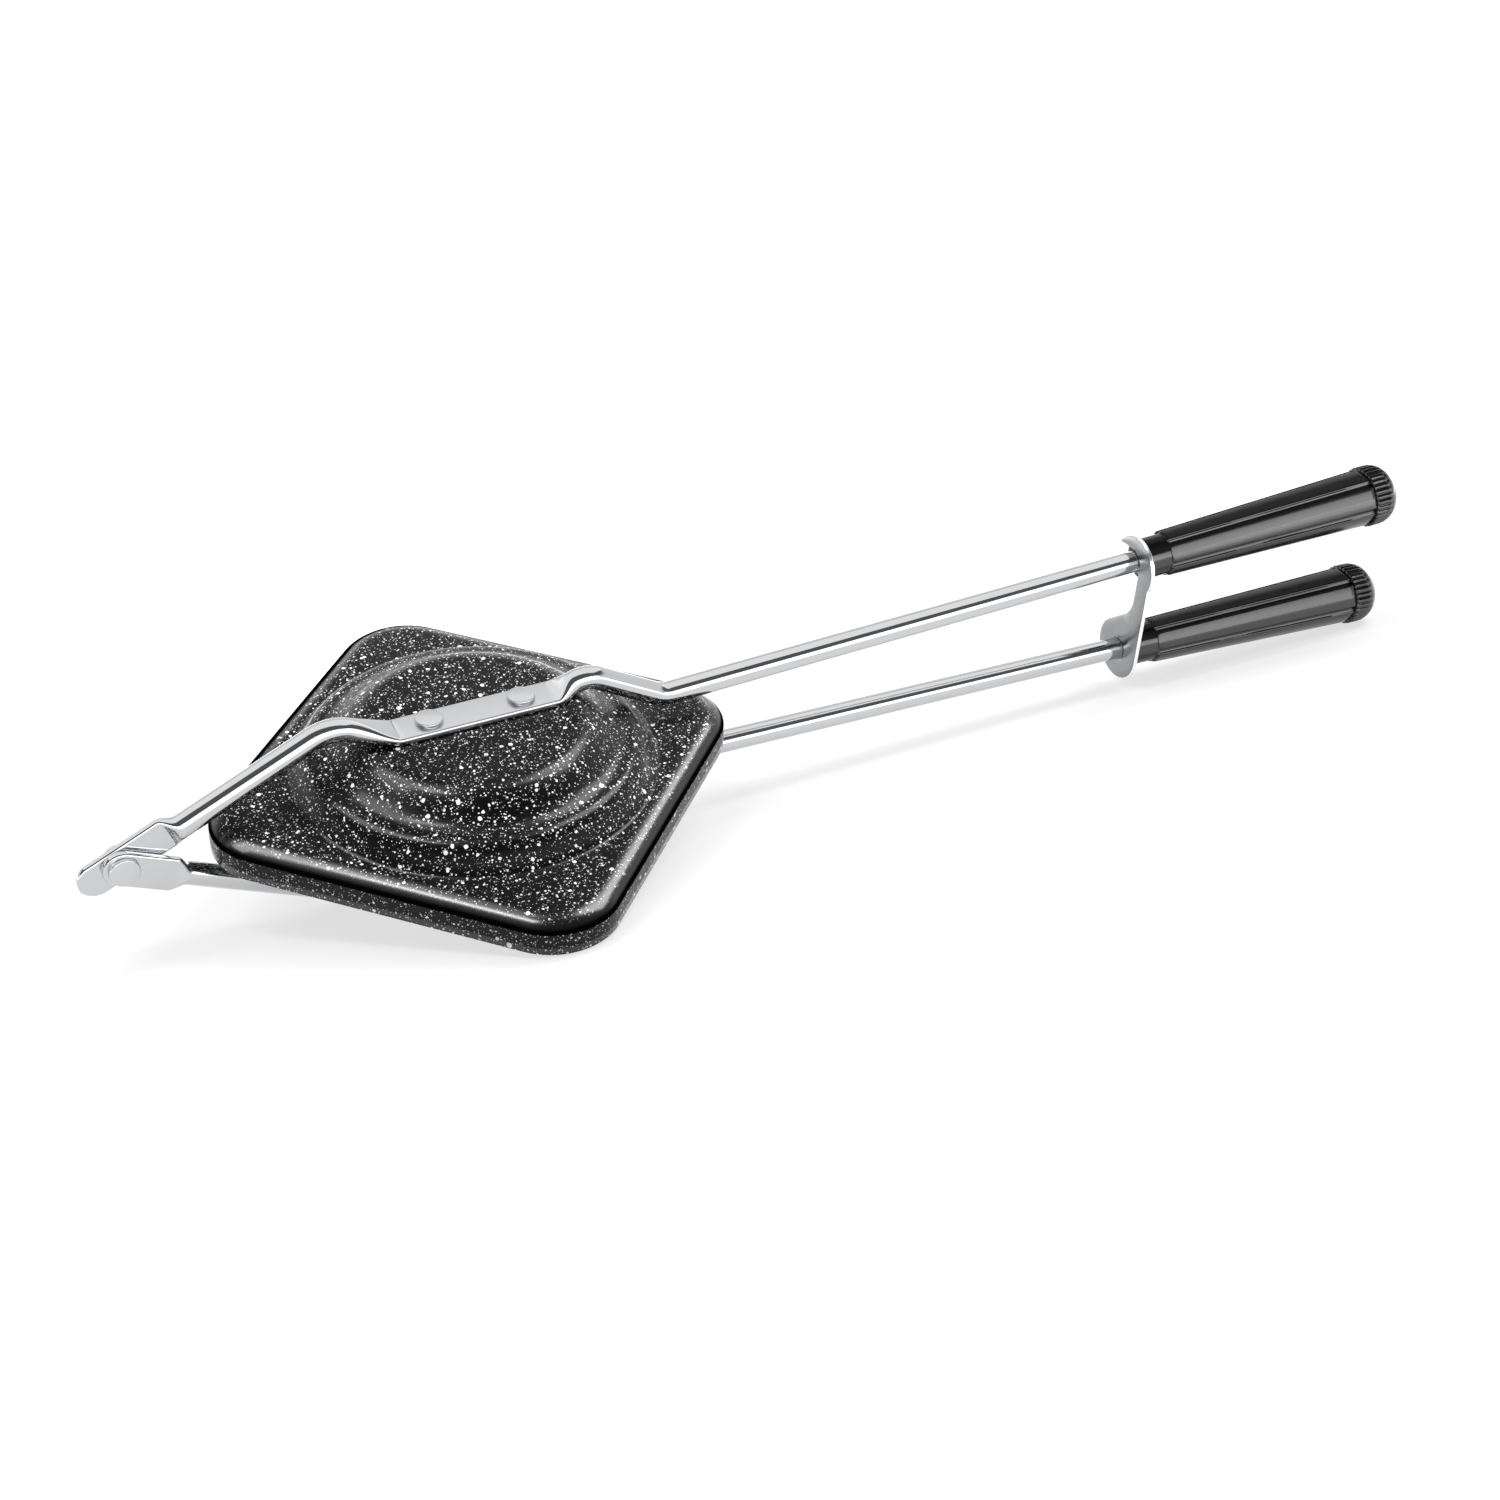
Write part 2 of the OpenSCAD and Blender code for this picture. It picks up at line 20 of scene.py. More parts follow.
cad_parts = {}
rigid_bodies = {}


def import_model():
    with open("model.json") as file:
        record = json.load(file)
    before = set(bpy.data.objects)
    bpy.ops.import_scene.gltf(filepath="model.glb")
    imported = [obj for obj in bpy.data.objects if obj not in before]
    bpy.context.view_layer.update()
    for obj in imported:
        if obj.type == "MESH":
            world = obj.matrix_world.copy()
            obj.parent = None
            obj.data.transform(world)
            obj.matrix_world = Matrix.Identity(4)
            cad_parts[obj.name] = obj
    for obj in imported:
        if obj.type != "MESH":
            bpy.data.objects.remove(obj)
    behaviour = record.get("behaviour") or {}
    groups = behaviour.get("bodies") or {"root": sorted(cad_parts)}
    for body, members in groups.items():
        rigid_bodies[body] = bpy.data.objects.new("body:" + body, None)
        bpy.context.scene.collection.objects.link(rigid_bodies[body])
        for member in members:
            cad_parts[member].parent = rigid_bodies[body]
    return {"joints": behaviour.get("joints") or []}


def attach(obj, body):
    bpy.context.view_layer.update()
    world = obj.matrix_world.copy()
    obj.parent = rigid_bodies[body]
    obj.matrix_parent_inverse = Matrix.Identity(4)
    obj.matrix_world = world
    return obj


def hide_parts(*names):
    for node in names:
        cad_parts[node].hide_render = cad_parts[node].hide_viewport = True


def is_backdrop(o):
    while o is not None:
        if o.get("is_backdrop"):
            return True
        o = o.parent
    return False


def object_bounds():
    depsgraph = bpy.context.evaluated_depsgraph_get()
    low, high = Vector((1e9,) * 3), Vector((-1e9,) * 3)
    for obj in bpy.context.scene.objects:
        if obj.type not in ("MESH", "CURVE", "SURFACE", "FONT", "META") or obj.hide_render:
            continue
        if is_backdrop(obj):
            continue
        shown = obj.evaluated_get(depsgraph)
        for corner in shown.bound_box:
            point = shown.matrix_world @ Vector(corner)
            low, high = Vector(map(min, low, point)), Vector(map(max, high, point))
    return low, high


log = logging.getLogger("pie_iron")

MM = 0.001
TAU = 2 * math.pi
# Small lengths that keep rings of points apart or join them, in millimetres and in metres.
HAIR = 0.02
MERGE_M = 1e-7


# ---------------------------------------------------------------------------------------------
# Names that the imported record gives
# ---------------------------------------------------------------------------------------------
class Side(Enum):
    """Which half of the tool a piece belongs to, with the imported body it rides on."""

    UPPER = "upper_side"
    LOWER = "lower_side"

    @property
    def sign(self) -> int:
        """+1 above the plane between the pans and -1 below it."""
        return 1 if self is Side.UPPER else -1

    @property
    def prefix(self) -> str:
        """The first word of the side's node names."""
        return self.name.lower()


class Slot(Enum):
    """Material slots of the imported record."""

    COATING = "coating"
    TUBE = "tube"
    RIVET = "rivet_steel"
    LATCH = "latch_plate"
    GRIP = "grip_resin"


LATCH_BODY = "latch_plate"


# ---------------------------------------------------------------------------------------------
# Sizes, in millimetres. Those that the CAD source has too keep its values
# ---------------------------------------------------------------------------------------------
@dataclass(frozen=True)
class PanSize:
    """A pressed pan: rounded square with its corners on the axes, and a stepped dome."""

    side: float = 140.0
    corner_r: float = 23.0
    sheet: float = 2.0
    shoulder_w: float = 8.0
    crease_h: float = 1.9
    land_h: float = 5.8
    bottom: float = -6.1
    disc_h: float = 23.4
    upper_slope_w: float = 15.5
    terrace_h: float = 14.6
    terrace_w: float = 2.5
    lower_slope_w: float = 8.3
    land_w: float = 0.2
    press_round: float = 2.2
    crease_fillet: float = 0.45
    rim_fillet: float = 0.5

    @property
    def dome_r(self) -> float:
        """Radius at which the dome starts to rise from the land."""
        return self.side / 2 - self.shoulder_w - self.land_w

    @property
    def upper_slope_r(self) -> float:
        """Outer radius of the upper slope."""
        return self.dome_r - self.lower_slope_w - self.terrace_w

    @property
    def disc_r(self) -> float:
        """Radius of the flat disc that the arm is riveted to."""
        return self.upper_slope_r - self.upper_slope_w

    @property
    def shoulder_h(self) -> float:
        """Height of the land above the crease."""
        return self.land_h - self.crease_h

    @property
    def arc_r(self) -> float:
        """Radius of the shoulder's arc, tangent to the land."""
        return (self.shoulder_w**2 + self.shoulder_h**2) / (2 * self.shoulder_h)


@dataclass(frozen=True)
class ArmSize:
    """A bent tube arm, pressed flat at the hinge and on the pan."""

    tube_d: float = 8.0
    flat_t: float = 2.8
    hinge_back: float = 118.5
    rear_crest: tuple[float, float] = (-48.5, 33.0)
    rear_crest_r: float = 14.0
    strip_l: float = 56.0
    strip_shift: float = 1.2
    strip_z: float = 24.8
    strip_r: float = 5.0
    front_crest: tuple[float, float] = (40.7, 28.9)
    front_crest_r: float = 10.0
    foot: tuple[float, float] = (67.9, 13.1)
    foot_r: float = 12.0
    rod_slope: float = math.radians(1.77)
    rod_end: float = 345.0
    tab_tip: float = 9.0
    # In the photograph the near tab ends just past the rivet. The solid's runs on to tab_tip.
    near_tip: float = 0.5
    tab_reach: float = 16.5
    tab_taper: float = 6.0
    tab_gap: float = 0.3
    edge_r: float = 1.15

    @property
    def tube_r(self) -> float:
        """Radius of the round tube."""
        return self.tube_d / 2

    @property
    def flat_w(self) -> float:
        """Width of the tube where it is pressed flat: half its girth."""
        return self.tube_d * math.pi / 2

    @property
    def rod_z(self) -> float:
        """Height of the rod's line above the pan's centre."""
        return self.foot[1] - self.foot[0] * math.tan(self.rod_slope)


@dataclass(frozen=True)
class RivetSize:
    """Rivets of the pans and of the hinge."""

    gap: float = 32.0
    head_d: float = 9.3
    head_t: float = 1.9
    tail_d: float = 8.4
    tail_t: float = 0.9
    hinge_d: float = 10.2
    hinge_t: float = 2.0
    hinge_pin_d: float = 6.0
    crown: float = 0.25
    hinge_crown: float = 0.3
    edge_r: float = 0.55
    foot_in: float = 0.12
    foot_h: float = 0.15
    tail_in: float = 0.4
    tail_edge: float = 0.35
    shank_r: float = 2.5


@dataclass(frozen=True)
class GripSize:
    """A ribbed grip with its fluted end cap, along the rod."""

    start: float = 260.0
    neck_l: float = 9.5
    neck_d: float = 15.1
    rib_l: float = 90.0
    rib_front_d: float = 17.6
    rib_back_d: float = 22.2
    rib_count: int = 6
    groove_w: float = 2.2
    groove_floor_d: float = 15.1
    cap_rim_l: float = 6.0
    cap_l: float = 13.5
    cap_d: float = 23.0
    flute_count: int = 32
    edge_r: float = 0.6
    flank_flat: float = 0.5
    bore_play: float = 0.05
    bore_cut: float = 0.4
    neck_round: float = 0.7
    neck_round_mid: tuple[float, float] = (0.3, 0.12)
    shoulder_l: float = 1.4
    rib_trim: float = 1.8
    back_cut: float = 0.15
    back_round: float = 0.6
    back_step: float = 2.2
    back_plain: float = 2.0
    cap_lap: float = 3.0
    cap_in: float = 0.5
    cap_edge: tuple[float, float] = (0.08, 0.35)
    flute_depth: float = 0.55
    flute_fade: float = 1.2
    flute_power: float = 1.2
    dome_inset: float = 0.45
    dome_power: float = 1.15

    @property
    def rib_start(self) -> float:
        """Where the ribs start along the rod."""
        return self.start + self.neck_l

    @property
    def rib_end(self) -> float:
        """Where the ribs end along the rod."""
        return self.rib_start + self.rib_l


@dataclass(frozen=True)
class LatchSize:
    """The stamped latch plate, drawn about the lower rod's centre."""

    x: float = 256.0
    thick: float = 1.6
    lower_r: float = 11.5
    hook_r: float = 11.4
    hook_shift: float = 1.3
    fillet_r: float = 11.0
    line_a: float = math.radians(50.0)
    rod_play: float = 0.5
    hook_play: float = 0.8
    bevel: float = 0.22
    bevel_mid: float = 0.3


PAN_UPPER = PanSize()
ARM = ArmSize()
RIVET = RivetSize()
GRIP = GripSize()
LATCH = LatchSize()
NEST_CLEAR = 1.0
RIM_SEAT_CLEAR = 0.3


def lower_pan_size(upper: PanSize) -> PanSize:
    """The lower pan's sizes: its rim nests in the upper pan's skirt.

    Args:
        upper: sizes of the upper pan.

    Returns:
        Sizes of the lower pan, drawn dome up as its mirror image.
    """
    inset = upper.sheet + NEST_CLEAR
    arc = upper.arc_r - upper.sheet
    reach = upper.shoulder_w - inset
    rim_top = upper.land_h - upper.sheet - arc + math.sqrt(arc**2 - reach**2) - RIM_SEAT_CLEAR
    return PanSize(
        side=upper.side - 2 * inset,
        corner_r=upper.corner_r - inset,
        shoulder_w=reach,
        bottom=-rim_top,
    )


# ---------------------------------------------------------------------------------------------
# The tool's frame, and the fitted camera in it
# ---------------------------------------------------------------------------------------------
class ToolFrame:
    """The resting transform from the tool's frame to the row's frame."""

    def __init__(self, joints: Sequence[dict], arm: ArmSize) -> None:
        """Works the transform out from the two packed hinges.

        Args:
            arm: sizes of the arms, which say where the hinge lies in the tool's frame.
        """
        by_name = {j["name"]: j for j in joints}
        side = -Vector(by_name["arm_hinge"]["axis"]).normalized()
        rod = Vector(by_name["latch_swing"]["axis"]).normalized()
        across = rod.cross(side)
        along = rod * math.cos(arm.rod_slope) + across * math.sin(arm.rod_slope)
        up = along.cross(side).normalized()
        turn = Matrix((along, side, up)).transposed()
        hinge = Vector(by_name["arm_hinge"]["pos_m"])
        shift = hinge - turn @ Vector((-arm.hinge_back * MM, 0.0, 0.0))
        self.rest = Matrix.Translation(shift) @ turn.to_4x4()

    def place(self, obj: bpy.types.Object) -> None:
        """Lays the mesh of an object drawn in the tool's frame down as the tool rests.

        Args:
            obj: the object, which stays at the row frame's origin itself.
        """
        obj.data.transform(self.rest)
        obj.data.update()


@dataclass(frozen=True)
class CameraFit:
    """The camera fitted to the photograph, in the tool's frame."""

    azimuth: float = math.radians(27.7213)
    elevation: float = math.radians(36.9453)
    roll: float = math.radians(2.5635)
    distance: float = 861.479
    target: tuple[float, float, float] = (90.0437, -24.6261, 0.0)
    focal_px: float = 2544.743
    frame_px: float = 1500.0
    sensor: float = 36.0
    clip: tuple[float, float] = (0.02, 30.0)

    def build(self, tool: ToolFrame) -> bpy.types.Object:
        """Adds the camera.

        Args:
            tool: the tool's frame, whose resting transform carries the camera.

        Returns:
            The camera object.
        """
        ce, se = math.cos(self.elevation), math.sin(self.elevation)
        away = Vector((-math.sin(self.azimuth) * ce, -math.cos(self.azimuth) * ce, se))
        right = (-away).cross(Vector((0, 0, 1))).normalized()
        up = right.cross(-away).normalized()
        cr, sr = math.cos(self.roll), math.sin(self.roll)
        axes = Matrix((right * cr + up * sr, up * cr - right * sr, away)).transposed()
        where = (Vector(self.target) + away * self.distance) * MM
        data = bpy.data.cameras.new("photo_camera")
        data.sensor_width = self.sensor
        data.lens = self.focal_px * self.sensor / self.frame_px
        data.clip_start, data.clip_end = self.clip
        camera = bpy.data.objects.new("photo_camera", data)
        bpy.context.scene.collection.objects.link(camera)
        camera.matrix_world = tool.rest @ Matrix.Translation(where) @ axes.to_4x4()
        bpy.context.scene.camera = camera
        return camera


# ---------------------------------------------------------------------------------------------
# Mesh making
# ---------------------------------------------------------------------------------------------
class RingMesh:
    """A closed mesh made of rings of points, each joined to the next."""

    def __init__(self, name: str, rings: Sequence[np.ndarray]) -> None:
        """Keeps the rings.

        Args:
            name: the object's name.
            rings: arrays of (points, 3) in millimetres, all with the same number of points.
        """
        self.name = name
        self.rings = [np.asarray(r, float) for r in rings]

    def build(self, sharp: float = math.radians(38.0)) -> bpy.types.Object:
        """Makes the object.

        Args:
            sharp: edges that turn by more than this angle stay sharp.

        Returns:
            The object, in metres, linked to the scene.
        """
        count = len(self.rings[0])
        points = np.concatenate(self.rings) * MM
        step = np.arange(count)
        after = (step + 1) % count
        faces: list[list[int]] = []
        for i in range(len(self.rings) - 1):
            low, high = i * count, (i + 1) * count
            faces += np.stack([low + step, low + after, high + after, high + step], 1).tolist()
        faces.append((step[::-1]).tolist())
        faces.append((step + (len(self.rings) - 1) * count).tolist())
        mesh = bpy.data.meshes.new(self.name)
        mesh.from_pydata(points.tolist(), [], faces)
        return finish_mesh(mesh, self.name, sharp)


def finish_mesh(mesh: bpy.types.Mesh, name: str, sharp: float) -> bpy.types.Object:
    """Makes a mesh smooth with outward normals and links it in an object.

    Args:
        mesh: the raw mesh.
        name: the object's name.
        sharp: edges that turn by more than this angle stay sharp.

    Returns:
        The object.
    """
    work = bmesh.new()
    work.from_mesh(mesh)
    bmesh.ops.remove_doubles(work, verts=work.verts, dist=MERGE_M)
    bmesh.ops.recalc_face_normals(work, faces=work.faces)
    work.to_mesh(mesh)
    work.free()
    mesh.shade_smooth()
    mesh.set_sharp_from_angle(angle=sharp)
    obj = bpy.data.objects.new(name, mesh)
    bpy.context.scene.collection.objects.link(obj)
    return obj


def smooth(t: np.ndarray | float) -> np.ndarray | float:
    """A step from 0 to 1 with level ends.

    Args:
        t: where along the step, clipped to 0 to 1.

    Returns:
        The eased value.
    """
    return 0.5 - 0.5 * np.cos(np.pi * np.clip(t, 0.0, 1.0))


def fillet_points(
    before: Sequence[float], corner: Sequence[float], after: Sequence[float], radius: float, steps: int = 4
) -> list[tuple[float, float]]:
    """Points of a small round at a corner of a profile.

    Args:
        before: a point of the profile before the corner.
        corner: the sharp corner.
        after: a point of the profile after the corner.
        radius: radius of the round.
        steps: how many segments the round has.

    Returns:
        The round's points, from the first tangent point to the last.
    """
    a, c, b = (np.array(p, float) for p in (before, corner, after))
    u, v = (a - c) / np.linalg.norm(a - c), (b - c) / np.linalg.norm(b - c)
    half = math.acos(max(-1.0, min(1.0, float(u @ v)))) / 2
    reach = radius / math.tan(half)
    middle = c + (u + v) / np.linalg.norm(u + v) * radius / math.sin(half)
    start, end = c + u * reach - middle, c + v * reach - middle
    turn = math.atan2(start[0] * end[1] - start[1] * end[0], float(start @ end))
    made = []
    for i in range(steps + 1):
        cs, sn = math.cos(turn * i / steps), math.sin(turn * i / steps)
        spoke = np.array([start[0] * cs - start[1] * sn, start[0] * sn + start[1] * cs])
        made.append(tuple((middle + spoke).tolist()))
    return made


class Pan:
    """One pressed pan, as a closed shell of sheet with rounded rim and crease."""

    EDGE_POINTS = 480
    PRESS_SAMPLES = 21
    WALL_MARGIN = 0.9
    # The inner face steps in by this share of the sheet's depth, outside a small middle.
    INNER_STEP = 0.5
    MIDDLE_R = 2.0
    FIRST_R = 1.0
    LAND_SHARES = (0.35, 0.75)

    def __init__(self, side: Side, size: PanSize) -> None:
        """Keeps the sizes.

        Args:
            side: the half of the tool the pan belongs to.
            size: the pan's sizes.
        """
        self.side = side
        self.size = size

    def outline(self) -> tuple[np.ndarray, np.ndarray]:
        """The crease's outline, evenly spaced.

        Returns:
            Points and outward normals in plan, both (EDGE_POINTS, 2).
        """
        s = self.size
        reach, arc = s.side / 2 - s.corner_r, s.corner_r * math.pi / 2
        straight = 2 * reach
        total = 4 * (straight + arc)
        points, normals = [], []
        for i in range(self.EDGE_POINTS):
            run = i * total / self.EDGE_POINTS + straight / 2
            quarter, rest = int(run // (straight + arc)) % 4, run % (straight + arc)
            turn = quarter * math.pi / 2
            if rest < straight:
                p, n = (s.side / 2, rest - reach), (1.0, 0.0)
            else:
                a = (rest - straight) / s.corner_r
                n = (math.cos(a), math.sin(a))
                p = (reach + s.corner_r * n[0], reach + s.corner_r * n[1])
            turn += math.pi / 4
            c, d = math.cos(turn), math.sin(turn)
            points.append((p[0] * c - p[1] * d, p[0] * d + p[1] * c))
            normals.append((n[0] * c - n[1] * d, n[0] * d + n[1] * c))
        return np.array(points), np.array(normals)

    def dome_z(self, rho: float) -> float:
        """Height of the pressed dome at a distance from the pan's centre.

        Args:
            rho: distance from the centre.

        Returns:
            The height.
        """
        s = self.size
        foot = s.upper_slope_r + s.terrace_w
        # The press rounds every corner, so the slopes are averaged over a few millimetres.
        spread = s.press_round * min(1.0, max(0.0, (s.dome_r - rho) / (2 * s.press_round)))
        near = rho + np.linspace(-1.0, 1.0, self.PRESS_SAMPLES) * spread
        low = smooth((s.dome_r - near) / (s.dome_r - foot)) * (s.terrace_h - s.land_h)
        high = smooth((s.upper_slope_r - near) / (s.upper_slope_r - s.disc_r)) * (s.disc_h - s.terrace_h)
        return float(s.land_h + np.mean(low + high))

    def edge_section(self) -> list[tuple[float, float]]:
        """The sheet's edge from the land out over the rim and back in.

        Returns:
            Points as (distance inside the crease's outline, height).
        """
        s = self.size
        arc_in = s.arc_r - s.sheet
        full = math.asin(s.shoulder_w / s.arc_r)
        top = s.land_h - s.arc_r
        outer = [
            (s.shoulder_w - s.arc_r * math.sin(full * t), top + s.arc_r * math.cos(full * t))
            for t in np.linspace(0, 1, 15)
        ]
        crease = fillet_points(outer[-2], (0.0, s.crease_h), (0.0, s.bottom), s.crease_fillet, 5)
        foot = fillet_points((0.0, s.crease_h), (0.0, s.bottom), (s.sheet, s.bottom), s.rim_fillet)
        back = fillet_points((0.0, s.bottom), (s.sheet, s.bottom), (s.sheet, s.crease_h), s.rim_fillet)
        inner_full = math.asin((s.shoulder_w - s.sheet) / arc_in)
        inner = [
            (s.shoulder_w - arc_in * math.sin(inner_full * t), top + arc_in * math.cos(inner_full * t))
            for t in np.linspace(1, 0, 9)
        ]
        wall = [(0.0, z) for z in np.linspace(s.crease_h - self.WALL_MARGIN, s.bottom + self.WALL_MARGIN, 6)]
        return outer[:-1] + crease + wall + foot + back + inner

    def build(self, material: bpy.types.Material) -> bpy.types.Object:
        """Makes the pan.

        Args:
            material: the coating.

        Returns:
            The pan's object.
        """
        s = self.size
        edge, normal = self.outline()
        inner_edge = edge - normal * s.shoulder_w
        angle = np.arctan2(inner_edge[:, 1], inner_edge[:, 0])
        spoke = np.stack([np.cos(angle), np.sin(angle)], 1)
        radii = np.concatenate([
            np.linspace(self.FIRST_R, s.disc_r - s.press_round - self.FIRST_R, 8),
            np.linspace(s.disc_r - s.press_round, s.dome_r, 72),
        ])

        def face(sink: float) -> list[np.ndarray]:
            """Rings of one face of the sheet, from the middle out over the land.

            Args:
                sink: how far the face lies under the outer one.

            Returns:
                The rings.
            """
            made = []
            for rho in radii:
                flat = spoke * (rho - sink * self.INNER_STEP if rho > self.MIDDLE_R else rho)
                made.append(np.column_stack([flat, np.full(len(flat), self.dome_z(rho) - sink)]))
            start = spoke * (s.dome_r - sink * self.INNER_STEP)
            for t in self.LAND_SHARES:
                flat = start * (1 - t) + inner_edge * t
                made.append(np.column_stack([flat, np.full(len(flat), s.land_h - sink)]))
            return made

        rings = face(0.0)
        for inset, z in self.edge_section():
            flat = edge - normal * inset
            rings.append(np.column_stack([flat, np.full(len(flat), z)]))
        rings += face(s.sheet)[::-1]
        if self.side is Side.LOWER:
            rings = [r * (1, 1, -1) for r in rings]
        obj = RingMesh(f"{self.side.prefix}_pan_pressing", rings).build()
        return dress(obj, material, self.side.value, Slot.COATING, f"{self.side.prefix}_pan")


class Path:
    """A bent line in the tool's x-z plane: straight runs with round corners."""

    def __init__(self, corners: Sequence[tuple[float, float]], radii: Sequence[float]) -> None:
        """Works out the runs and bends.

        Args:
            corners: the line's corners, ends included.
            radii: bend radius at each inner corner.
        """
        self.pieces: list[tuple[str, float, tuple]] = []
        pts = [np.array(c, float) for c in corners]
        start = pts[0]
        for i, radius in enumerate(radii, 1):
            a, b = pts[i] - pts[i - 1], pts[i + 1] - pts[i]
            a, b = a / np.linalg.norm(a), b / np.linalg.norm(b)
            turn = math.atan2(a[0] * b[1] - a[1] * b[0], float(a @ b))
            reach = radius * math.tan(abs(turn) / 2)
            end = pts[i] - a * reach
            self.pieces.append(("run", float(np.linalg.norm(end - start)), (start, a)))
            self.pieces.append(("bend", radius * abs(turn), (end, a, turn, radius)))
            start = pts[i] + b * reach
        last = pts[-1] - start
        length = float(np.linalg.norm(last))
        self.pieces.append(("run", length, (start, last / length)))
        self.ends = np.cumsum([0.0] + [p[1] for p in self.pieces])

    @property
    def length(self) -> float:
        """The line's whole length."""
        return float(self.ends[-1])

    def at(self, s: float) -> tuple[np.ndarray, np.ndarray]:
        """Point and direction at a distance along the line.

        Args:
            s: distance from the line's start; it may lie before the start or past the end.

        Returns:
            The point and the unit direction.
        """
        i = int(np.clip(np.searchsorted(self.ends, s, side="right") - 1, 0, len(self.pieces) - 1))
        kind, _, data = self.pieces[i]
        rest = s - self.ends[i]
        if kind == "run":
            return data[0] + data[1] * rest, data[1]
        start, a, turn, radius = data
        side = math.copysign(1.0, turn)
        centre = start + np.array([-a[1], a[0]]) * radius * side
        swept = side * rest / radius
        c, d = math.cos(swept), math.sin(swept)
        spoke = start - centre
        point = centre + np.array([spoke[0] * c - spoke[1] * d, spoke[0] * d + spoke[1] * c])
        return point, np.array([a[0] * c - a[1] * d, a[0] * d + a[1] * c])

    def near(self, x: float) -> float:
        """Distance along the line at which it reaches an x.

        Args:
            x: the x to reach; the line always runs forwards in x.

        Returns:
            The distance from the line's start.
        """
        low, high = 0.0, self.length
        for _ in range(60):
            mid = (low + high) / 2
            if self.at(mid)[0][0] < x:
                low = mid
            else:
                high = mid
        return low


class Mark(IntEnum):
    """Ends of the arm's runs and bends that its shape follows, by their place in Path.ends."""

    CREST_START = 1
    CREST_END = 2
    STRIP_START = 4
    STRIP_END = 5
    ROUND_AGAIN = 7
    ROD_START = 10


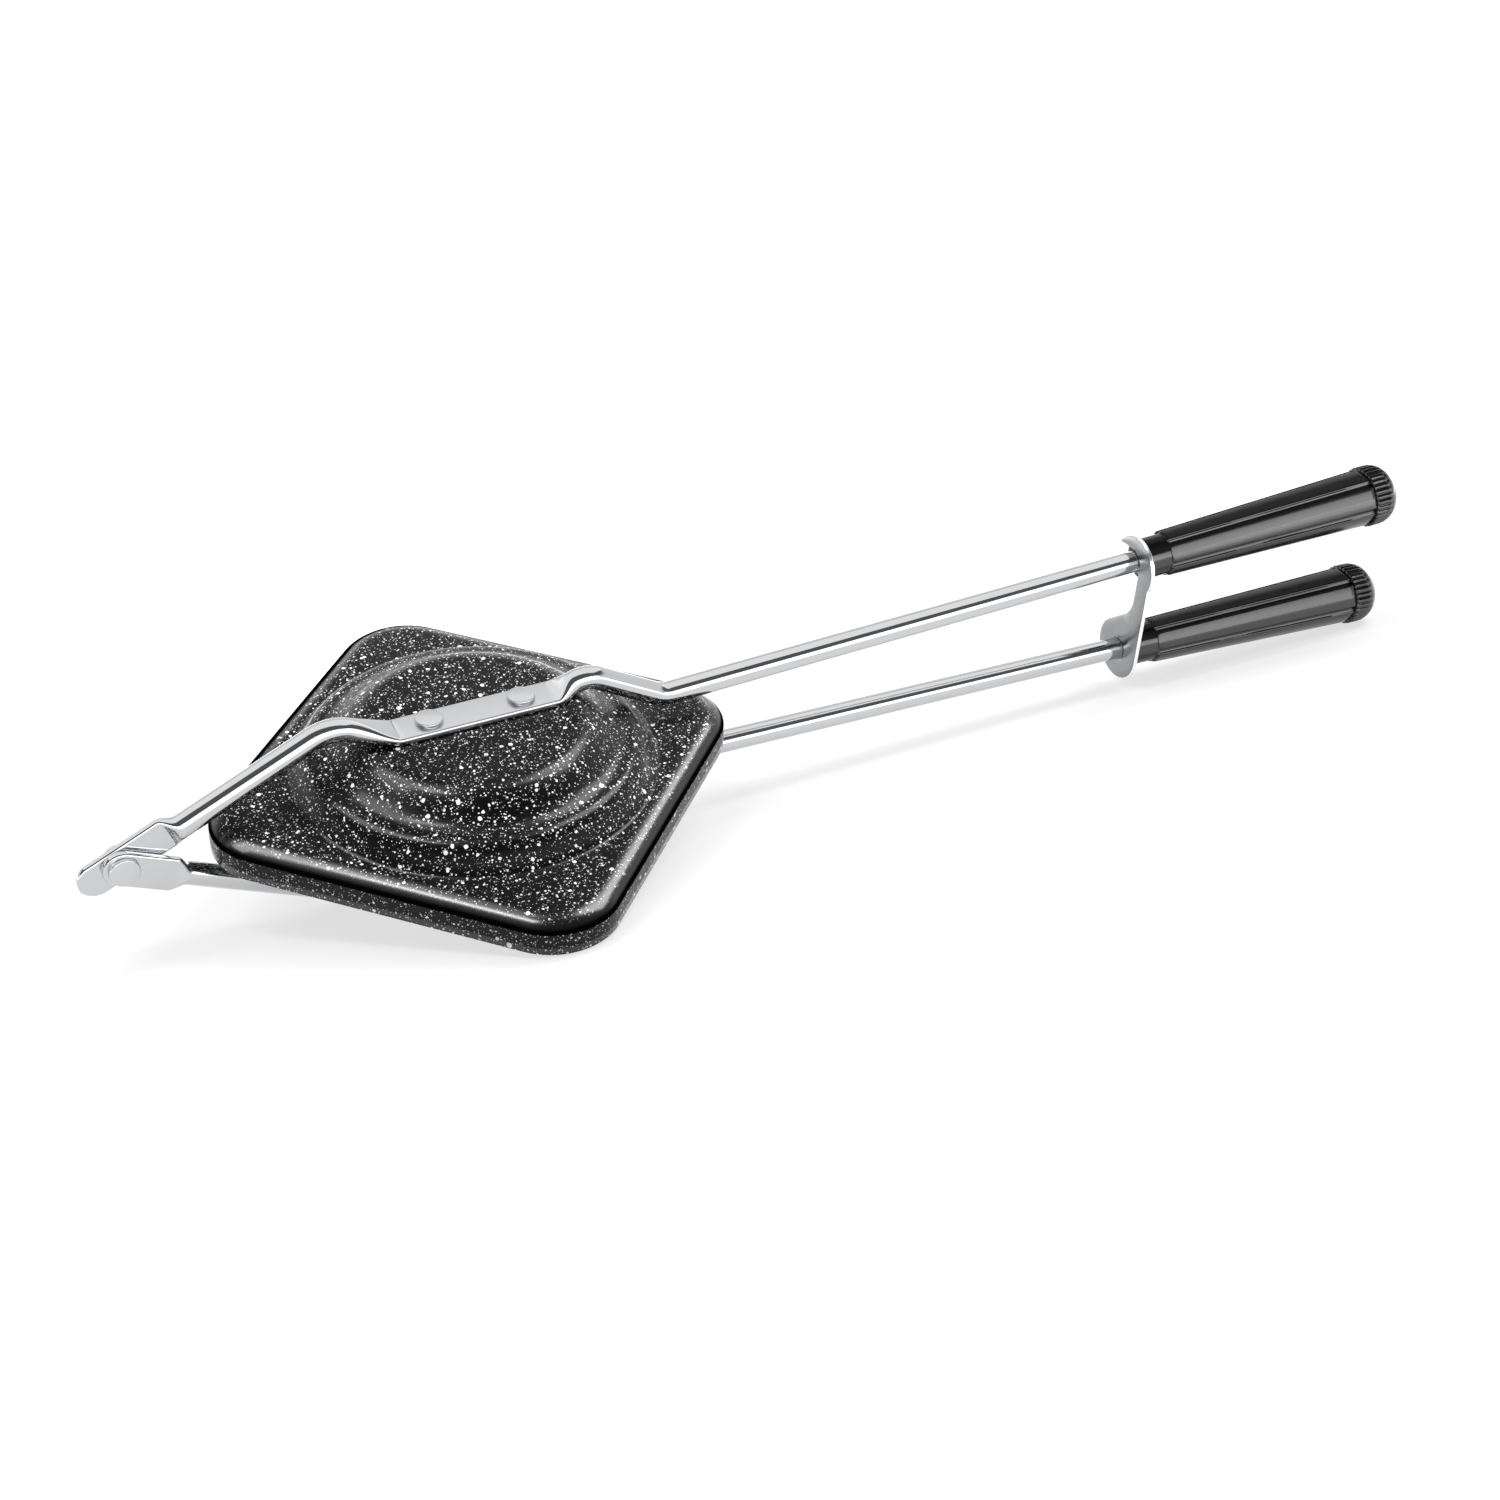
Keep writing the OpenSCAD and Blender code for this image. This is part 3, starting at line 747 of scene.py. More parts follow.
class Arm:
    """One arm: tube, pressed flat on edge at the hinge and flat on the pan."""

    CORNER_POINTS = 12
    BEND_STEP = 0.6
    GAP = 0.5
    LEAST_TIP = 0.01

    def __init__(self, side: Side, size: ArmSize) -> None:
        """Lays the arm's centre line.

        Args:
            side: the half of the tool the arm belongs to.
            size: the arm's sizes.
        """
        self.side = side
        self.size = size
        s = size
        back, front = s.strip_shift - s.strip_l / 2, s.strip_shift + s.strip_l / 2
        end = (s.rod_end * math.cos(s.rod_slope), s.rod_z + s.rod_end * math.sin(s.rod_slope))
        strip = [(back, s.strip_z), (front, s.strip_z)]
        self.path = Path(
            [(-s.hinge_back, 0.0), s.rear_crest, *strip, s.front_crest, s.foot, end],
            [s.rear_crest_r, s.strip_r, s.strip_r, s.front_crest_r, s.foot_r],
        )
        # The near tab, on the lower arm, ends just past the rivet.
        self.tip = s.tab_tip if side is Side.UPPER else s.near_tip
        self.tab_side = s.tab_gap / 2 + s.flat_t / 2
        if side is Side.LOWER:
            self.tab_side = -self.tab_side

    def shape(self, s: float) -> tuple[float, float, float, float]:
        """The tube's section at a place.

        Args:
            s: distance along the centre line from the hinge.

        Returns:
            (half width along y, half height, corner radius, shift along y).
        """
        z = self.size
        tube, thin, wide = z.tube_r, z.flat_t / 2, z.flat_w / 2
        tab = 1.0 - float(smooth((s - z.tab_reach) / z.tab_taper))
        half_y = tube + (thin - tube) * tab
        half_z = tube + (wide - tube) * tab
        corner = tube + (z.edge_r - tube) * tab
        if s < -self.tip:
            past = -self.tip - s
            half_z = math.sqrt(max(wide**2 - past**2, 0.0))
            corner = min(z.edge_r, half_z)
        b0, b1, b2, b3 = self.strip_marks()
        strip = float(smooth((s - b0) / (b1 - b0)) * (1.0 - smooth((s - b2) / (b3 - b2))))
        if strip > 0:
            half_y = tube + (wide - tube) * strip
            half_z = tube + (thin - tube) * strip
            corner = min(half_z, tube + (z.edge_r - tube) * strip)
        return half_y, half_z, min(corner, half_y, half_z), self.tab_side * tab

    def strip_marks(self) -> tuple[float, float, float, float]:
        """Where the tube starts to flatten, is flat, starts to rise and is round again.

        Returns:
            Four distances along the centre line.
        """
        marks = (Mark.CREST_END, Mark.STRIP_START, Mark.STRIP_END, Mark.ROUND_AGAIN)
        return tuple(float(self.path.ends[mark]) for mark in marks)

    def section(self, s: float) -> np.ndarray:
        """One ring of the arm's surface.

        Args:
            s: distance along the centre line from the hinge.

        Returns:
            Points in the tool's frame, as the upper arm lies.
        """
        half_y, half_z, r, shift = self.shape(s)
        point, way = self.path.at(s)
        up = np.array([-way[1], way[0]])
        angles = np.linspace(0, math.pi / 2, self.CORNER_POINTS)
        ring = []
        for quarter, (cy, cz) in enumerate([(1, 1), (-1, 1), (-1, -1), (1, -1)]):
            for a in angles + quarter * math.pi / 2:
                b = cy * (half_y - r) + r * math.cos(a) + shift
                n = cz * (half_z - r) + r * math.sin(a)
                ring.append((point[0] + up[0] * n, b, point[1] + up[1] * n))
        return np.array(ring)

    def stations(self) -> list[float]:
        """Distances along the centre line at which rings stand.

        Returns:
            The distances, rising.
        """
        z, gap = self.size, self.GAP
        tip = -(self.tip + z.flat_w / 2)
        rounding = [-self.tip - z.flat_w / 2 * math.cos(a) for a in np.linspace(0.0, math.pi / 2, 20)]
        flat = np.linspace(-self.tip + gap, z.tab_reach, 6).tolist()
        taper = np.linspace(z.tab_reach, z.tab_reach + z.tab_taper, 15)[1:].tolist()
        crest, rod_start = self.path.ends[Mark.CREST_START], self.path.ends[Mark.ROD_START]
        rise = np.linspace(z.tab_reach + z.tab_taper + 2 * gap, crest - gap, 8).tolist()
        middle = np.arange(crest, rod_start + 2 * gap, self.BEND_STEP).tolist()
        rod = np.linspace(rod_start + 3 * gap, self.path.length, 12).tolist()
        return [max(x, tip + self.LEAST_TIP) for x in rounding] + flat + taper + rise + middle + rod

    def build(self, material: bpy.types.Material) -> bpy.types.Object:
        """Makes the arm.

        Args:
            material: the plated tube.

        Returns:
            The arm's object.
        """
        rings = [self.section(s) for s in self.stations()]
        if self.side is Side.LOWER:
            rings = [r * (1, 1, -1) for r in rings]
        obj = RingMesh(f"{self.side.prefix}_arm_tube", rings).build(math.radians(50))
        return dress(obj, material, self.side.value, Slot.TUBE, f"{self.side.prefix}_arm")


class Turned:
    """A turned piece: a profile swept about an axis."""

    def __init__(self, name: str, profile: Sequence[tuple[float, float]], points: int = 72) -> None:
        """Keeps the profile.

        Args:
            name: the object's name.
            profile: (radius, height) points from one end of the axis to the other.
            points: points round the axis.
        """
        self.name = name
        self.profile = profile
        self.points = points

    def build(self, axes: Matrix, sharp: float = math.radians(38.0)) -> bpy.types.Object:
        """Makes the piece.

        Args:
            axes: where its axis (z) stands in the tool's frame, in millimetres.
            sharp: edges that turn by more than this angle stay sharp.

        Returns:
            The object.
        """
        a = np.linspace(0, TAU, self.points, endpoint=False)
        turn = np.array(axes.to_3x3())
        shift = np.array(axes.translation)
        rings = []
        for r, z in self.profile:
            wide = max(r, HAIR)
            flat = np.column_stack([wide * np.cos(a), wide * np.sin(a), np.full(len(a), z)])
            rings.append(flat @ turn.T + shift)
        return RingMesh(self.name, rings).build(sharp)


def rivet_head(diameter: float, height: float, crown: float, base: float) -> list[tuple[float, float]]:
    """Profile of a flat rivet head with a round edge and a faint crown.

    Args:
        diameter: the head's diameter.
        height: its height over the face it sits on.
        crown: how far the top bulges.
        base: height of the face it sits on.

    Returns:
        Profile points from the base's edge to the middle of the top.
    """
    r, edge = diameter / 2, min(RIVET.edge_r, height * 0.4)
    made = [(r - RIVET.foot_in, base), (r, base + RIVET.foot_h), (r, base + height - edge - crown)]
    for a in np.linspace(0, math.pi / 2, 7)[1:]:
        made.append((r - edge + edge * math.cos(a), base + height - edge - crown + edge * math.sin(a)))
    for t in np.linspace(0.85, 0.0, 8):
        made.append(((r - edge) * t, base + height - crown * t * t))
    return made


class PanRivet:
    """A rivet that holds the arm's strip on the pan."""

    def __init__(self, side: Side, end: int) -> None:
        """Keeps the place.

        Args:
            side: the half of the tool the rivet belongs to.
            end: -1 for the rivet nearer the hinge and 1 for the other.
        """
        self.side = side
        self.end = end

    def build(self, material: bpy.types.Material) -> bpy.types.Object:
        """Makes the rivet.

        Args:
            material: the rivets' steel.

        Returns:
            The rivet's object.
        """
        pan, arm = PAN_UPPER, ARM
        face = pan.disc_h + arm.flat_t
        inside = pan.disc_h - pan.sheet
        tail, foot, shank = RIVET.tail_d / 2, inside - RIVET.tail_t, RIVET.shank_r
        profile = [(0.0, foot), (tail - RIVET.tail_in, foot), (tail, foot + RIVET.tail_edge), (tail, inside)]
        profile += [(shank, inside), (shank, face)]
        profile += rivet_head(RIVET.head_d, RIVET.head_t, RIVET.crown, face)
        which = "rear" if self.end < 0 else "front"
        x = arm.strip_shift + self.end * RIVET.gap / 2
        axes = Matrix.Translation((x, 0, 0))
        if self.side is Side.LOWER:
            axes = Matrix.Rotation(math.pi, 4, "X") @ axes
        obj = Turned(f"{self.side.prefix}_{which}_rivet_set", profile).build(axes)
        return dress(obj, material, self.side.value, Slot.RIVET, f"{self.side.prefix}_{which}_rivet")


class HingeRivet:
    """The rivet that the two arms turn on."""

    def build(self, material: bpy.types.Material) -> bpy.types.Object:
        """Makes the rivet.

        Args:
            material: the rivets' steel.

        Returns:
            The rivet's object.
        """
        face = ARM.tab_gap / 2 + ARM.flat_t
        far_face = face + ARM.tab_gap / 2
        head = (RIVET.hinge_d, RIVET.hinge_t, RIVET.hinge_crown)
        far = [(r, -z) for r, z in rivet_head(*head, far_face)[::-1]]
        pin = RIVET.hinge_pin_d / 2
        profile = far + [(pin, -face - ARM.tab_gap / 2), (pin, face)]
        profile += rivet_head(*head, face)
        axes = Matrix.Translation((-ARM.hinge_back, 0, 0)) @ Matrix.Rotation(math.pi / 2, 4, "X")
        obj = Turned("hinge_rivet_set", profile).build(axes)
        return dress(obj, material, Side.LOWER.value, Slot.RIVET, "hinge_rivet")


def on_rod(side: Side) -> Matrix:
    """Where a rod's own axis lies: z runs along the rod from above the pan's centre.

    Args:
        side: the half of the tool.

    Returns:
        The transform to the tool's frame, in millimetres.
    """
    up = side.sign
    way = Vector((math.cos(ARM.rod_slope), 0.0, up * math.sin(ARM.rod_slope)))
    across = Vector((0.0, -float(up), 0.0))
    axes = Matrix((way.cross(across) * -1, across, way)).transposed().to_4x4()
    return Matrix.Translation((0.0, 0.0, up * ARM.rod_z)) @ axes


class Grip:
    """A moulded grip: neck, ribs with round-floored grooves, and a fluted cap."""

    ROUND_POINTS = 432

    def __init__(self, side: Side, size: GripSize) -> None:
        """Keeps the sizes.

        Args:
            side: the half of the tool the grip belongs to.
            size: the grip's sizes.
        """
        self.side = side
        self.size = size

    @property
    def around(self) -> np.ndarray:
        """Angles of the points round the axis."""
        return np.linspace(0, TAU, self.ROUND_POINTS, endpoint=False)

    def rings(
        self, profile: Sequence[tuple[float, float]], cut: Callable[[float, float], np.ndarray]
    ) -> list[np.ndarray]:
        """Rings whose radius is cut by a pattern round the axis.

        Args:
            profile: (radius, distance along the rod) points.
            cut: gives the new radii at a radius and distance.

        Returns:
            The rings in the tool's frame.
        """
        a = self.around
        axes = on_rod(self.side)
        turn, shift = np.array(axes.to_3x3()), np.array(axes.translation)
        made = []
        for r, z in profile:
            radius = cut(r, z)
            flat = np.column_stack([radius * np.cos(a), radius * np.sin(a), np.full(len(a), z)])
            made.append(flat @ turn.T + shift)
        return made

    def grooved(self, r: float, z: float) -> np.ndarray:
        """Radii round the ribbed part.

        Args:
            r: radius over the ribs.
            z: distance along the rod; not used.

        Returns:
            One radius for each point round the axis.
        """
        g = self.size
        a = self.around
        pitch = TAU / g.rib_count
        turn = np.abs((a % pitch) - pitch / 2)
        off = turn * r
        half, edge = g.groove_w / 2, g.edge_r
        share = min(1.0, (r * 2 - g.neck_d) / (g.rib_front_d - g.neck_d))
        depth = (g.rib_front_d - g.groove_floor_d) / 2 * share
        flank = g.flank_flat * r * (1.0 - math.cos(pitch / 2) / np.cos(pitch / 2 - turn)) * share
        floor = depth - half + np.sqrt(np.maximum(half**2 - np.minimum(off, half) ** 2, 0.0))
        cut = np.where(off < half, np.maximum(floor, 0.0), 0.0)
        lip = np.clip((off - half) / edge, 0.0, 1.0)
        round_over = edge * (1.0 - np.sqrt(np.maximum(1.0 - (1.0 - lip) ** 2, 0.0)))
        return r - np.maximum(cut, np.minimum(flank + round_over, depth))

    def build_grip(self, material: bpy.types.Material) -> bpy.types.Object:
        """Makes the grip.

        Args:
            material: the moulded resin.

        Returns:
            The grip's object.
        """
        g = self.size
        front, back = g.rib_front_d / 2, g.rib_back_d / 2
        neck = g.neck_d / 2
        bore = ARM.tube_r + g.bore_play
        mid = g.neck_round_mid
        profile = [(bore, g.start + g.bore_cut), (bore + g.bore_cut, g.start), (neck - g.neck_round, g.start)]
        profile += [(neck - mid[0], g.start + mid[1]), (neck, g.start + g.neck_round)]
        profile += [(neck, z) for z in np.linspace(g.start + 1.5, g.rib_start - 0.3, 5)]
        for t in np.linspace(0, 1, 9):
            turn = t * math.pi / 2
            along = g.rib_start + g.shoulder_l * (1 - math.cos(turn))
            profile.append((neck + (front - neck) * math.sin(turn), along))
        for t in np.linspace(0.02, 1, 60):
            along = g.rib_start + g.shoulder_l + (g.rib_l - g.rib_trim) * t
            profile.append((front + (back - front) * t, along))
        profile.append((back - g.back_cut, g.rib_end - g.back_cut))
        profile += [(back - inset, g.rib_end - HAIR) for inset in (g.back_round, g.back_step)]

        def cut(r: float, z: float) -> np.ndarray:
            """Radii round the axis: plain on the neck and the back face, grooved between them.

            Args:
                r: radius of the profile.
                z: distance along the rod.

            Returns:
                One radius for each point round the axis.
            """
            if z < g.rib_start or r < neck + HAIR or r <= back - g.back_plain and z > g.rib_end - 1:
                return np.full(self.ROUND_POINTS, r)
            return self.grooved(r, z)

        obj = RingMesh(f"{self.side.prefix}_grip_moulding", self.rings(profile, cut)).build(math.radians(55))
        return dress(obj, material, self.side.value, Slot.GRIP, f"{self.side.prefix}_grip")

    def build_cap(self, material: bpy.types.Material) -> bpy.types.Object:
        """Makes the end cap.

        Args:
            material: the moulded resin.

        Returns:
            The cap's object.
        """
        g = self.size
        rim = g.cap_d / 2
        a = self.around
        wave = np.abs(np.sin(a * g.flute_count / 2))
        fade = g.flute_fade

        def cut(r: float, z: float) -> np.ndarray:
            """Radii round the axis: flutes on the rim, which fade out on the dome.

            Args:
                r: radius of the profile.
                z: distance along the rod.

            Returns:
                One radius for each point round the axis.
            """
            if not g.rib_end + 0.01 < z < g.rib_end + g.cap_rim_l + fade or r < rim - g.back_plain:
                return np.full(self.ROUND_POINTS, r)
            share = min(1.0, (g.rib_end + g.cap_rim_l + fade - z) / fade)
            return r - g.flute_depth * share * (1.0 - wave) ** g.flute_power

        edge = rim - g.flute_depth * g.dome_inset
        height = g.cap_l - g.cap_rim_l
        near = g.cap_edge
        profile = [(rim - inset, g.rib_end) for inset in (g.cap_lap, g.cap_in)]
        profile += [(rim - near[0], g.rib_end + near[1])]
        profile += [(rim, z) for z in np.linspace(g.rib_end + 0.7, g.rib_end + g.cap_rim_l - g.cap_in, 5)]
        profile += [(rim - 0.1, g.rib_end + g.cap_rim_l)]
        for t in np.linspace(0.06, 1, 26):
            turn = t * math.pi / 2
            along = g.rib_end + g.cap_rim_l + height * math.sin(turn) ** g.dome_power
            profile.append((edge * math.cos(turn), along))
        open_profile = [(max(r, HAIR), z) for r, z in profile]
        obj = RingMesh(f"{self.side.prefix}_cap_moulding", self.rings(open_profile, cut))
        made = obj.build(math.radians(60))
        return dress(made, material, self.side.value, Slot.GRIP, f"{self.side.prefix}_end_cap")


class Latch:
    """The stamped latch plate that turns on the lower rod and hooks over the upper one.

    The photograph shows a lip on the hook. It is left out, as in the solid, because the plate would
    cut through the upper rod with it as it swings off.
    """

    ARC_STEP = 0.3

    def __init__(self, size: LatchSize, arm: ArmSize) -> None:
        """Works out the distance between the rods in the plate's plane.

        Args:
            size: the plate's sizes.
            arm: the arms' sizes.
        """
        self.size = size
        slope, middle = arm.rod_slope, size.x + size.thick / 2
        rise = (middle + 2 * arm.rod_z * math.sin(slope)) * math.tan(2 * slope)
        self.gap = 2 * arm.rod_z * math.cos(slope) + rise
        self.rod_r = arm.tube_r

    @classmethod
    def arc(cls, centre: tuple[float, float], r: float, start: float, end: float) -> list[tuple]:
        """Points of an arc with their outward directions.

        Args:
            centre: the arc's centre.
            r: its radius; below zero for a hollow arc, whose outside faces the centre.
            start: angle of the first point.
            end: angle of the last point.

        Returns:
            Tuples (x, y, outward x, outward y).
        """
        size = abs(r)
        count = max(3, int(abs(end - start) * size / cls.ARC_STEP))
        side = math.copysign(1.0, r)
        made = []
        for i in range(count + 1):
            a = start + (end - start) * i / count
            c, s = math.cos(a), math.sin(a)
            made.append((centre[0] + size * c, centre[1] + size * s, side * c, side * s))
        return made

    def outline(self) -> list[tuple]:
        """The plate's outer outline, anticlockwise, the lower rod's centre at the origin.

        Returns:
            Tuples (x, y, outward x, outward y).
        """
        z = self.size
        notch = self.rod_r + z.hook_play
        hook = (-z.hook_shift, self.gap - z.hook_shift)
        top = self.gap + notch
        nx, ny = math.cos(z.line_a), math.sin(z.line_a)
        cx = z.fillet_r - notch
        cy = (z.lower_r + z.fillet_r - cx * nx) / ny
        lobe = self.arc((0, 0), z.lower_r, -math.pi, z.line_a)
        fillet = self.arc((cx, cy), -z.fillet_r, z.line_a + math.pi, math.pi)
        notch_side = [(-notch, y, 1.0, 0.0) for y in np.linspace(cy + 0.5, self.gap - 0.3, 24)]
        round_notch = self.arc((0, self.gap), -notch, math.pi, math.pi / 2)
        reach = z.hook_r
        d = math.hypot(*hook)
        cosine = (d**2 + top**2 - reach**2) / (2 * d * top)
        base = math.atan2(hook[1], hook[0])
        meet = base - math.acos(max(-1.0, min(1.0, cosine)))
        tip = (top * math.cos(meet), top * math.sin(meet))
        under = self.arc((0, 0), -top, math.pi / 2 - 0.004, meet)
        tip_a = math.atan2(tip[1] - hook[1], tip[0] - hook[0])
        drop = math.acos((z.lower_r - z.hook_shift) / reach)
        over = self.arc(hook, reach, tip_a, math.pi + drop)
        strap = [(-z.lower_r, y, -1.0, 0.0) for y in np.linspace(over[-1][1] - 0.4, 0.4, 30)]
        return lobe + fillet + notch_side + round_notch[1:] + under[1:] + over + strap

    def build(self, material: bpy.types.Material) -> bpy.types.Object:
        """Makes the plate.

        Args:
            material: the stamped steel.

        Returns:
            The plate's object.
        """
        z = self.size
        outer = self.outline()
        hole = self.arc((0, 0), -(self.rod_r + z.rod_play), TAU, 0.0)[:-1]
        work = bmesh.new()
        bands = []
        mid = z.bevel * z.bevel_mid
        layers = [(z.bevel, 0.0), (mid, mid), (0.0, z.bevel)]
        layers += [(0.0, z.thick - z.bevel), (mid, z.thick - mid), (z.bevel, z.thick)]
        axes = on_rod(Side.LOWER)
        way = np.array(axes.to_3x3().col[2])
        start = np.array(axes.translation) + way * z.x
        across = np.array([0.0, 1.0, 0.0])
        up = np.cross(way, across)
        for loop in (outer, hole):
            rows = []
            for inset, depth in layers:
                row = []
                for x, y, u, v in loop:
                    p = start + way * depth + across * (x - u * inset) + up * (y - v * inset)
                    row.append(work.verts.new((p * MM).tolist()))
                rows.append(row)
            for low, high in zip(rows, rows[1:]):
                for i in range(len(low)):
                    j = (i + 1) % len(low)
                    work.faces.new((low[i], low[j], high[j], high[i]))
            bands.append(rows)
        for layer in (0, -1):
            edges = []
            for rows in bands:
                row = rows[layer]
                for i in range(len(row)):
                    edge = work.edges.get((row[i], row[(i + 1) % len(row)]))
                    edges.append(edge or work.edges.new((row[i], row[(i + 1) % len(row)])))
            bmesh.ops.triangle_fill(work, use_beauty=True, use_dissolve=False, edges=edges)
        mesh = bpy.data.meshes.new("latch_stamping")
        work.to_mesh(mesh)
        work.free()
        obj = finish_mesh(mesh, "latch_stamping", math.radians(40))
        return dress(obj, material, LATCH_BODY, Slot.LATCH, "latch")


# main() puts the tool's frame here, and dress() puts each piece under its slot for the lamps.
TOOL: dict[str, ToolFrame] = {}
PIECES: dict[Slot, list[bpy.types.Object]] = {slot: [] for slot in Slot}


def dress(
    obj: bpy.types.Object, material: bpy.types.Material, body: str, slot: Slot, node: str
) -> bpy.types.Object:
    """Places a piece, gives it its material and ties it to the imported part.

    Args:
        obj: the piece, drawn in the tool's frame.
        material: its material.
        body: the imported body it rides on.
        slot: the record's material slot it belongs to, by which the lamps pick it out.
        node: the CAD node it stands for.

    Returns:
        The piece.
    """
    TOOL["frame"].place(obj)
    obj.data.materials.clear()
    obj.data.materials.append(material)
    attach(obj, body)
    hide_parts(node)
    PIECES[slot].append(obj)
    log.info("%s stands for %s, rides on %s, in %s", obj.name, node, body, material.name)
    return obj


# ---------------------------------------------------------------------------------------------
# Materials
# ---------------------------------------------------------------------------------------------
# Settings that the nodes' sums share, and the span in which a noise's values mostly lie.
ABSOLUTE = {"operation": "ABSOLUTE"}
ADD = {"operation": "ADD"}
DOT_PRODUCT = {"operation": "DOT_PRODUCT"}
GREATER_THAN = {"operation": "GREATER_THAN"}
LENGTH = {"operation": "LENGTH"}
MAXIMUM = {"operation": "MAXIMUM"}
MULTIPLY = {"operation": "MULTIPLY"}
MULTIPLY_ADD = {"operation": "MULTIPLY_ADD"}
SCALE = {"operation": "SCALE"}
SUBTRACT = {"operation": "SUBTRACT"}
EASED = {"interpolation_type": "SMOOTHSTEP"}
NOISE_LOW = 0.3
NOISE_HIGH = 0.7


def srgb(code: str) -> tuple[float, float, float, float]:
    """A linear colour from an sRGB hex code.

    Args:
        code: six hex digits.

    Returns:
        The colour as Blender's sockets take it.
    """
    parts = [int(code[i : i + 2], 16) / 255 for i in (0, 2, 4)]
    linear = [p / 12.92 if p <= 0.04045 else ((p + 0.055) / 1.055) ** 2.4 for p in parts]
    return (*linear, 1.0)


class NodeSheet:
    """The node tree of a material or a world, with one way to add any node."""

    def __init__(self, name: str, world: bool = False) -> None:
        """Starts an empty tree.

        Args:
            name: the name of the material or world.
            world: whether it is a world.
        """
        self.owner = (bpy.data.worlds if world else bpy.data.materials).new(name)
        self.output = "OutputWorld" if world else "OutputMaterial"
        self.owner.use_nodes = True
        self.tree = self.owner.node_tree
        self.tree.nodes.clear()

    def add(self, kind: str, settings: dict | None = None, **inputs: object) -> bpy.types.Node:
        """Adds a node, sets it and links it.

        Args:
            kind: the node's type, without the leading "ShaderNode".
            settings: attributes of the node.
            **inputs: socket values or sockets to link, by the socket's name with _ for a space,
                or by number as i0, i1.

        Returns:
            The node.
        """
        node = self.tree.nodes.new("ShaderNode" + kind)
        for key, value in (settings or {}).items():
            setattr(node, key, value)
        for key, value in inputs.items():
            index = int(key[1:]) if key[0] == "i" and key[1:].isdigit() else key.replace("_", " ")
            socket = node.inputs[index]
            if isinstance(value, bpy.types.NodeSocket):
                self.tree.links.new(value, socket)
            elif isinstance(value, bpy.types.Node):
                self.tree.links.new(value.outputs[0], socket)
            else:
                socket.default_value = value
        return node

    def place(self) -> bpy.types.NodeSocket:
        """The point that is shaded, in metres along the tool's own axes.

        Returns:
            The vector's socket.
        """
        rest = TOOL["frame"].rest
        seen = self.add("TexCoord").outputs["Object"]
        back = {"vector_type": "TEXTURE"}
        turn = rest.to_euler()
        return self.add("Mapping", back, Vector=seen, Location=rest.translation, Rotation=turn).outputs[0]

    def facing(self, axis: tuple[float, float, float]) -> bpy.types.NodeSocket:
        """How far the surface faces along an axis of the tool, -1 to 1, in any pose.

        Args:
            axis: the axis, in the tool's frame.

        Returns:
            The value's socket.
        """
        way = Vector(axis)
        way.rotate(TOOL["frame"].rest)
        normal = self.add("TexCoord").outputs["Normal"]
        return self.add("VectorMath", DOT_PRODUCT, i0=normal, i1=way).outputs["Value"]

    def finish(self, surface: bpy.types.Node) -> bpy.types.Material | bpy.types.World:
        """Links the surface to the output.

        Args:
            surface: the shader.

        Returns:
            The material or world.
        """
        self.add(self.output, Surface=surface.outputs[0])
        return self.owner


@dataclass(frozen=True)
class SpeckLayer:
    """One size of speckle: cell size, share of cells with a speck, its radii in cells, and its tone."""

    cell_mm: float
    share: float
    small: float
    large: float
    tone: float
    seed: float
    warp: float = 0.3


